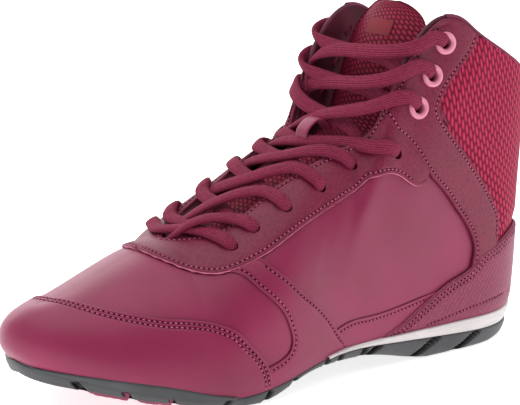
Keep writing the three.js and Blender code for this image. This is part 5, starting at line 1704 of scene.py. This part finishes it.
@dataclass
class Sole(SubAssembly):
    """White midsole wedge, dark rubber outsole with cut edges, tread pads and insole."""

    # Cuts of the side wall: width and depth in mm, share of the wall's height. Raised lip beside
    # them: half width and height in mm
    LONG_CUT, SHORT_CUT = (1.25, 3.4, 0.9), (1.3, 2.6, 1.0)
    CUT_LIP_MM = (0.45, 0.22)

    def __post_init__(self) -> None:
        """Makes the sole's shape."""
        self.shape = SoleShape(self.last)

    def _band(self, u: np.ndarray, profile: Sequence[tuple[float, float]], low: Callable, high: Callable,
              side: int, cut: Callable | None = None, lip: Sequence[tuple[float, float]] = (),
              lip_out: float = 0.0) -> Grid:
        """Side wall of a layer.

        Args:
            u: stations.
            profile: outward bulge in mm and share of the height, from the top down.
            low: height of the layer's underside.
            high: height of its top.
            side: -1 or 1.
            cut: function of stations, heights and side that gives the depth of the cuts.
            lip: height of the lip over the foot's edge, by share of sole length.
            lip_out: how far the lip stands off the upper, in mm.
        Returns:
            The wall's grid.
        """
        bulge = np.array([p[0] for p in profile]) * MM
        share = np.array([p[1] for p in profile])
        grid_u = np.broadcast_to(u[:, None], (len(u), len(profile)))
        bottom, top = low(u)[:, None], high(u)[:, None]
        height = bottom + (top - bottom) * share[None, :]
        bulge = np.broadcast_to(bulge[None, :], grid_u.shape)
        depth = cut(grid_u, height, side) if cut else np.zeros(grid_u.shape)
        rows = np.zeros((len(u), 0, 3))
        if lip:
            tall = self._lip_height(u, lip)
            near_top = np.clip((share - 0.35) / 0.5, 0, 1)
            weight = np.clip(tall, 0, 1)[:, None] * (near_top * near_top * (3 - 2 * near_top))[None, :]
            bulge = bulge * (1 - weight) + lip_out * MM * weight
            rows = self._lip_rows(u, tall, lip_out, side)
        points = self.shape.ring(grid_u, side, depth - bulge, height)
        points = np.concatenate([rows, points], 1)
        # painted shade: the cuts' depth is kept as a weight that darkens the rubber in them
        shade = np.concatenate([np.zeros(rows.shape[:2]), np.clip(depth / (1.2 * MM), 0, 1)], 1)
        flat = np.stack([points[..., 0], points[..., 2]], -1)
        return Grid(points, flat, flip=side < 0, shade=shade)

    def _lip_height(self, u: np.ndarray, lip: Sequence[tuple[float, float]]) -> np.ndarray:
        """Height of a lip in mm at stations."""
        share = (1 - np.cos(np.pi * u)) / 2
        return np.interp(share, [row[0] for row in lip], [row[1] for row in lip])

    def _lip_rows(self, u: np.ndarray, tall: np.ndarray, out_mm: float, side: int) -> np.ndarray:
        """Rows of a lip that follows the upper's face, from its inner top edge down."""
        shares = np.linspace(0, 0.35, 80)
        grid_u, grid_phi = np.meshgrid(u, shares, indexing="ij")
        rise = (self.last.point(grid_u, grid_phi, side)[..., 2] - self.last.feather(u)[:, None]) / MM
        full = np.clip(tall, 0, 1)
        rows = []
        for part, out in ((1.0, -0.6), (1.02, 0.35), (0.93, 0.85), (0.75, 1.0), (0.45, 1.0), (0.15, 1.0)):
            phi = np.array([np.interp(target, line, shares) for target, line in zip(tall * part, rise)])
            reach = out * out_mm * full - 0.7 * (1 - full)
            rows.append(self.last.skin(u, phi, side, reach * MM))
        return np.stack(rows, 1)

    def _lid(self, u: np.ndarray, inset_mm: float, height: Callable, up: bool) -> Grid:
        """Level face of a layer from its outer to its inner edge."""
        outer = self.shape.ring(u, -1, np.full(u.shape, inset_mm * MM), height(u))
        inner = self.shape.ring(u, 1, np.full(u.shape, inset_mm * MM), height(u))
        t = np.linspace(0, 1, 25)[None, :, None]
        points = outer[:, None, :] * (1 - t) + inner[:, None, :] * t
        return Grid(points, points[..., :2], flip=not up)

    def _cuts(self, u: np.ndarray, height: np.ndarray, side: int) -> np.ndarray:
        """Depth of the slanted cuts at places of the outsole's wall."""
        s, _ = self.last.edge(u, side)
        total = np.zeros(u.shape)
        for share, slant, long in GROOVES:
            at = float(Last.turn(share))
            low = float(self.shape.underside(np.array(at)))
            high = float(self.shape.outsole_top(np.array(at)))
            lean = math.tan(math.radians(slant))
            line = share * self.last.sole_length - (height - low) * lean
            gap = np.abs(s - line) * math.cos(math.radians(slant)) / MM
            width, deep, tall = self.LONG_CUT if long else self.SHORT_CUT
            reach = (high - low) * tall
            above = np.clip((low + reach - height) / (0.8 * MM), 0, 1)
            profile = 1 - np.clip((gap - width * 0.55) / (width * 0.6), 0, 1)
            total = np.maximum(total, profile * above * deep * MM)
            lip = np.exp(-(((gap - width * 1.5) / self.CUT_LIP_MM[0]) ** 2)) * above * self.CUT_LIP_MM[1] * MM
            total = total - np.where(total <= 0, lip, 0)
        return total

    def build(self) -> list[bpy.types.Object]:
        """Makes the sole's pieces."""
        shape, last = self.shape, self.last
        tip = float(Last.turn(shape.midsole_length / last.sole_length))
        wedge_u = np.linspace(0, tip, 220)
        wedge_profile = [(-0.6, 1.0), (0.1, 0.97), (0.55, 0.85), (0.75, 0.6), (0.75, 0.35), (0.5, 0.12), (0.1, 0.02),
                         (-0.4, 0.0)]
        wedge = [self._band(wedge_u, wedge_profile, shape.midsole_under, shape.top, side, None, HEEL_LIP, 2.1)
                 for side in Side]
        wedge += [self._lid(wedge_u, 0.6, shape.top, True), self._lid(wedge_u, 0.4, shape.midsole_under, False)]
        midsole = mesh_from_grids("foam_midsole_wedge", wedge)
        finish_piece(midsole, [self.wardrobe["midsole"]], ["midsole"])

        u = np.linspace(0, 1, 760)
        profile = [(-0.8, 1.0), (0.0, 0.985), (0.45, 0.95), (0.7, 0.85), (0.72, 0.72), (0.68, 0.6), (0.6, 0.5),
                   (0.45, 0.4), (0.25, 0.3), (0.0, 0.2), (-0.4, 0.12), (-0.9, 0.06), (-1.6, 0.015), (-2.6, 0.0)]
        walls = [self._band(u, profile, shape.underside, shape.outsole_top, side, self._cuts, TOE_LIP, 1.5)
                 for side in Side]
        coarse = np.linspace(0, 1, 240)
        walls += [self._lid(coarse, 0.8, lambda v: shape.outsole_top(v) - 0.05 * MM, True),
                  self._lid(u, 2.6, shape.underside, False)]
        outsole = mesh_from_grids("rubber_outsole", walls)
        finish_piece(outsole, [self.wardrobe["rubber"]], ["outsole"])

        made = [midsole, outsole]
        for index in range(3):
            made.append(self._pad(index))
        made.append(self._insole())
        return made

    def _pad(self, index: int) -> bpy.types.Object:
        """Textured tread pad under the toes."""
        shape = self.shape
        start = shape.pad_start + 1.5 * MM + index * shape.pad_pitch
        ends = [float(Last.turn(x / self.last.sole_length)) for x in (start, start + shape.pad_length)]
        u = np.linspace(ends[0], ends[1], 40)
        half = shape.ring(u, -1, np.full(u.shape, 1.2 * MM), shape.underside(u))
        other = shape.ring(u, 1, np.full(u.shape, 1.2 * MM), shape.underside(u))
        t = np.linspace(0, 1, 150)[None, :, None]
        points = half[:, None, :] * (1 - t) + other[:, None, :] * t
        knob = 0.35 * MM * np.sin(points[..., 0] / (0.75 * MM)) * np.sin(points[..., 1] / (0.75 * MM))
        rim = np.minimum(np.minimum(t[..., 0], 1 - t[..., 0]) * 60, 1)
        ends_rim = np.minimum(np.minimum(np.linspace(0, 1, 40), np.linspace(1, 0, 40))[:, None] * 14, 1)
        sink = 1 - np.sqrt(np.clip(1 - (1 - rim * ends_rim) ** 2, 0, 1))
        points[..., 2] += sink * 2.6 * MM + np.maximum(knob, -0.1 * MM) * 0.5 - 1.1 * MM * (1 - sink)
        points[..., 2] = np.maximum(points[..., 2], 0.0)
        obj = mesh_from_grids(f"knobbed_tread_{index + 1}", [Grid(points, points[..., :2], flip=True)])
        return finish_piece(obj, [self.wardrobe["tread"]], [f"tread_pad_{index + 1}"])

    def _insole(self) -> bpy.types.Object:
        """Sock liner inside the shoe."""
        u = np.linspace(0.02, 0.98, 120)
        grids = []
        for inset, off, up in ((3.4, 3.5, True), (3.4, 0.3, False)):
            grids.append(self._lid(u, inset, lambda v, off=off: self.last.feather(v) + off * MM, up))
        outer = [self._band(u, [(-3.4, 1.0), (-3.2, 0.5), (-3.4, 0.0)],
                            lambda v: self.last.feather(v) + 0.3 * MM, lambda v: self.last.feather(v) + 3.5 * MM,
                            side) for side in Side]
        obj = mesh_from_grids("sock_liner", grids + outer)
        return finish_piece(obj, [self.wardrobe["lining"]], ["insole"])


# ---- Studio ----


@dataclass(frozen=True)
class AreaLight:
    """Soft box: place, target, size and power."""

    name: str
    place: tuple[float, float, float]
    target: tuple[float, float, float]
    size: tuple[float, float]
    power: float


class Studio:
    """Camera, soft lights, pale world and pale floor."""

    LIGHTS = (
        AreaLight("soft_box_over", (-0.10, -0.10, 1.30), (0.0, 0.0, 0.05), (1.6, 1.2), 9.0),
        AreaLight("soft_box_toe_side", (-1.20, -0.35, 0.75), (-0.03, 0.0, 0.05), (0.9, 0.9), 0.9),
        AreaLight("soft_box_behind", (0.20, 1.20, 0.80), (0.0, 0.0, 0.06), (1.4, 0.9), 7.5),
        AreaLight("soft_box_heel_side", (1.10, -0.55, 0.45), (0.06, 0.0, 0.05), (0.5, 0.9), 3.6),
        AreaLight("low_strip", (0.50, -1.00, 0.06), (0.06, -0.03, 0.03), (1.1, 0.12), 0.6),
    )

    # The view fitted to the photograph's outline: angles in degrees, the pixel at which the
    # target shows, the focal length in pixels, and metres
    YAW_PITCH_ROLL = (38.5, 12.8, 1.0)
    TARGET, DISTANCE = (0.0, 0.0, 0.060), 0.925
    AIM_PX, FOCAL_PX, SENSOR_MM = (280.2, 236.2), 2015.6, 36.0
    FLOOR_GLOW = 0.75

    def camera(self) -> bpy.types.Object:
        """Camera at the photograph's angle, from the fit of the view."""
        yaw, pitch, roll = (math.radians(v) for v in self.YAW_PITCH_ROLL)
        away = Vector((-math.sin(yaw) * math.cos(pitch), -math.cos(yaw) * math.cos(pitch), math.sin(pitch)))
        aim_x = (self.AIM_PX[0] - FRAME_WIDTH_PX / 2) / self.FOCAL_PX
        aim_y = (FRAME_HEIGHT_PX / 2 - self.AIM_PX[1]) / self.FOCAL_PX

        def axes(ahead: Vector) -> tuple[Vector, Vector]:
            """Right and up of the rolled camera when it looks that way."""
            right = ahead.cross(Vector((0, 0, 1))).normalized()
            up = right.cross(ahead)
            return right * math.cos(roll) + up * math.sin(roll), up * math.cos(roll) - right * math.sin(roll)

        forward = -away
        for _ in range(6):
            right, up = axes(forward)
            seen = (right * aim_x + up * aim_y + forward).normalized()
            forward = (forward - away - seen).normalized()
        right, up = axes(forward)
        data = bpy.data.cameras.new("view")
        data.sensor_width = self.SENSOR_MM
        data.lens = self.FOCAL_PX / FRAME_WIDTH_PX * self.SENSOR_MM
        data.clip_start, data.clip_end = 0.05, 20.0
        camera = bpy.data.objects.new("view", data)
        place = Vector(self.TARGET) + away * self.DISTANCE
        rows = [(right[k], up[k], -forward[k], place[k]) for k in range(3)]
        camera.matrix_world = Matrix(rows + [(0, 0, 0, 1)])
        bpy.context.scene.collection.objects.link(camera)
        bpy.context.scene.camera = camera
        return camera

    def lights(self) -> None:
        """Area lights."""
        for light in self.LIGHTS:
            data = bpy.data.lights.new(light.name, "AREA")
            data.shape = "RECTANGLE"
            data.size, data.size_y = light.size
            data.energy = light.power
            lamp = bpy.data.objects.new(light.name, data)
            direction = Vector(light.target) - Vector(light.place)
            lamp.location = light.place
            lamp.rotation_euler = direction.to_track_quat("-Z", "Y").to_euler()
            bpy.context.scene.collection.objects.link(lamp)

    def world(self) -> None:
        """White surroundings, a little dimmer low on the near side."""
        world = bpy.data.worlds.new("pale_room")
        world.use_nodes = True
        tree = world.node_tree
        tree.nodes.clear()
        place = add_node(tree, "ShaderNodeTexCoord").outputs["Generated"]
        parts = add_node(tree, "ShaderNodeSeparateXYZ", Vector=place)
        side = add_node(tree, "ShaderNodeMapRange", {"interpolation_type": "SMOOTHSTEP"}, Value=parts.outputs["Y"],
                        From_Min=-0.9, From_Max=0.4, To_Min=0.16, To_Max=0.70)
        lit = add_node(tree, "ShaderNodeBackground", Color=(1.0, 1.0, 1.0, 1.0), Strength=side.outputs["Result"])
        seen = add_node(tree, "ShaderNodeBackground", Color=(1.0, 1.0, 1.0, 1.0), Strength=1.0)
        path = add_node(tree, "ShaderNodeLightPath")
        mix = add_node(tree, "ShaderNodeMixShader", in0=path.outputs["Is Camera Ray"],
                       in1=lit.outputs["Background"], in2=seen.outputs["Background"])
        output = add_node(tree, "ShaderNodeOutputWorld")
        tree.links.new(mix.outputs["Shader"], output.inputs["Surface"])
        bpy.context.scene.world = world

    def floor(self) -> bpy.types.Object:
        """Pale seamless floor that curves up behind."""
        xs = np.linspace(-3, 3, 13)
        profile = [(-3.0, 0.0), (0.0, 0.0), (1.0, 0.0), (1.6, 0.06), (2.1, 0.3), (2.4, 0.8), (2.5, 1.6)]
        points = np.array([[(x, y, z - 0.0003) for y, z in profile] for x in xs])
        obj = mesh_from_grids("pale_floor", [Grid(points, points[..., :2], flip=True)])
        board = Moulded("matt_painted_board", "#FBFBFB", "#F6F6F6", 0.9, 3.0, 0.02).build()
        shader = next(node for node in board.node_tree.nodes if node.type == "BSDF_PRINCIPLED")
        shader.inputs["Emission Color"].default_value = linear("#FFFFFF")
        shader.inputs["Emission Strength"].default_value = self.FLOOR_GLOW
        obj.data.materials.append(board)
        return obj

    def build(self) -> None:
        """Sets the studio up."""
        self.camera()
        self.lights()
        self.world()
        self.floor()
        bpy.context.scene.view_settings.view_transform = "Standard"


class Shoe:
    """The whole boxing shoe."""

    GROUPS = (UpperShell, MeshQuarter, Overlays, Stitching, EyeletRings, Tongue, Laces, Keeper, Sole)

    def build(self) -> None:
        """Makes every piece on one last from one wardrobe."""
        last, wardrobe = Last(), Wardrobe()
        for group in self.GROUPS:
            group(last, wardrobe).build()


def corners(box: Sequence[Vector]) -> list[list[float]]:
    """A box as plain lists."""
    return [[float(value) for value in corner] for corner in box]


def main() -> None:
    """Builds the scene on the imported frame."""
    logging.basicConfig(level=logging.INFO, format="%(message)s")
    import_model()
    Studio().build()
    Shoe().build()


if __name__ == "__main__":
    main()
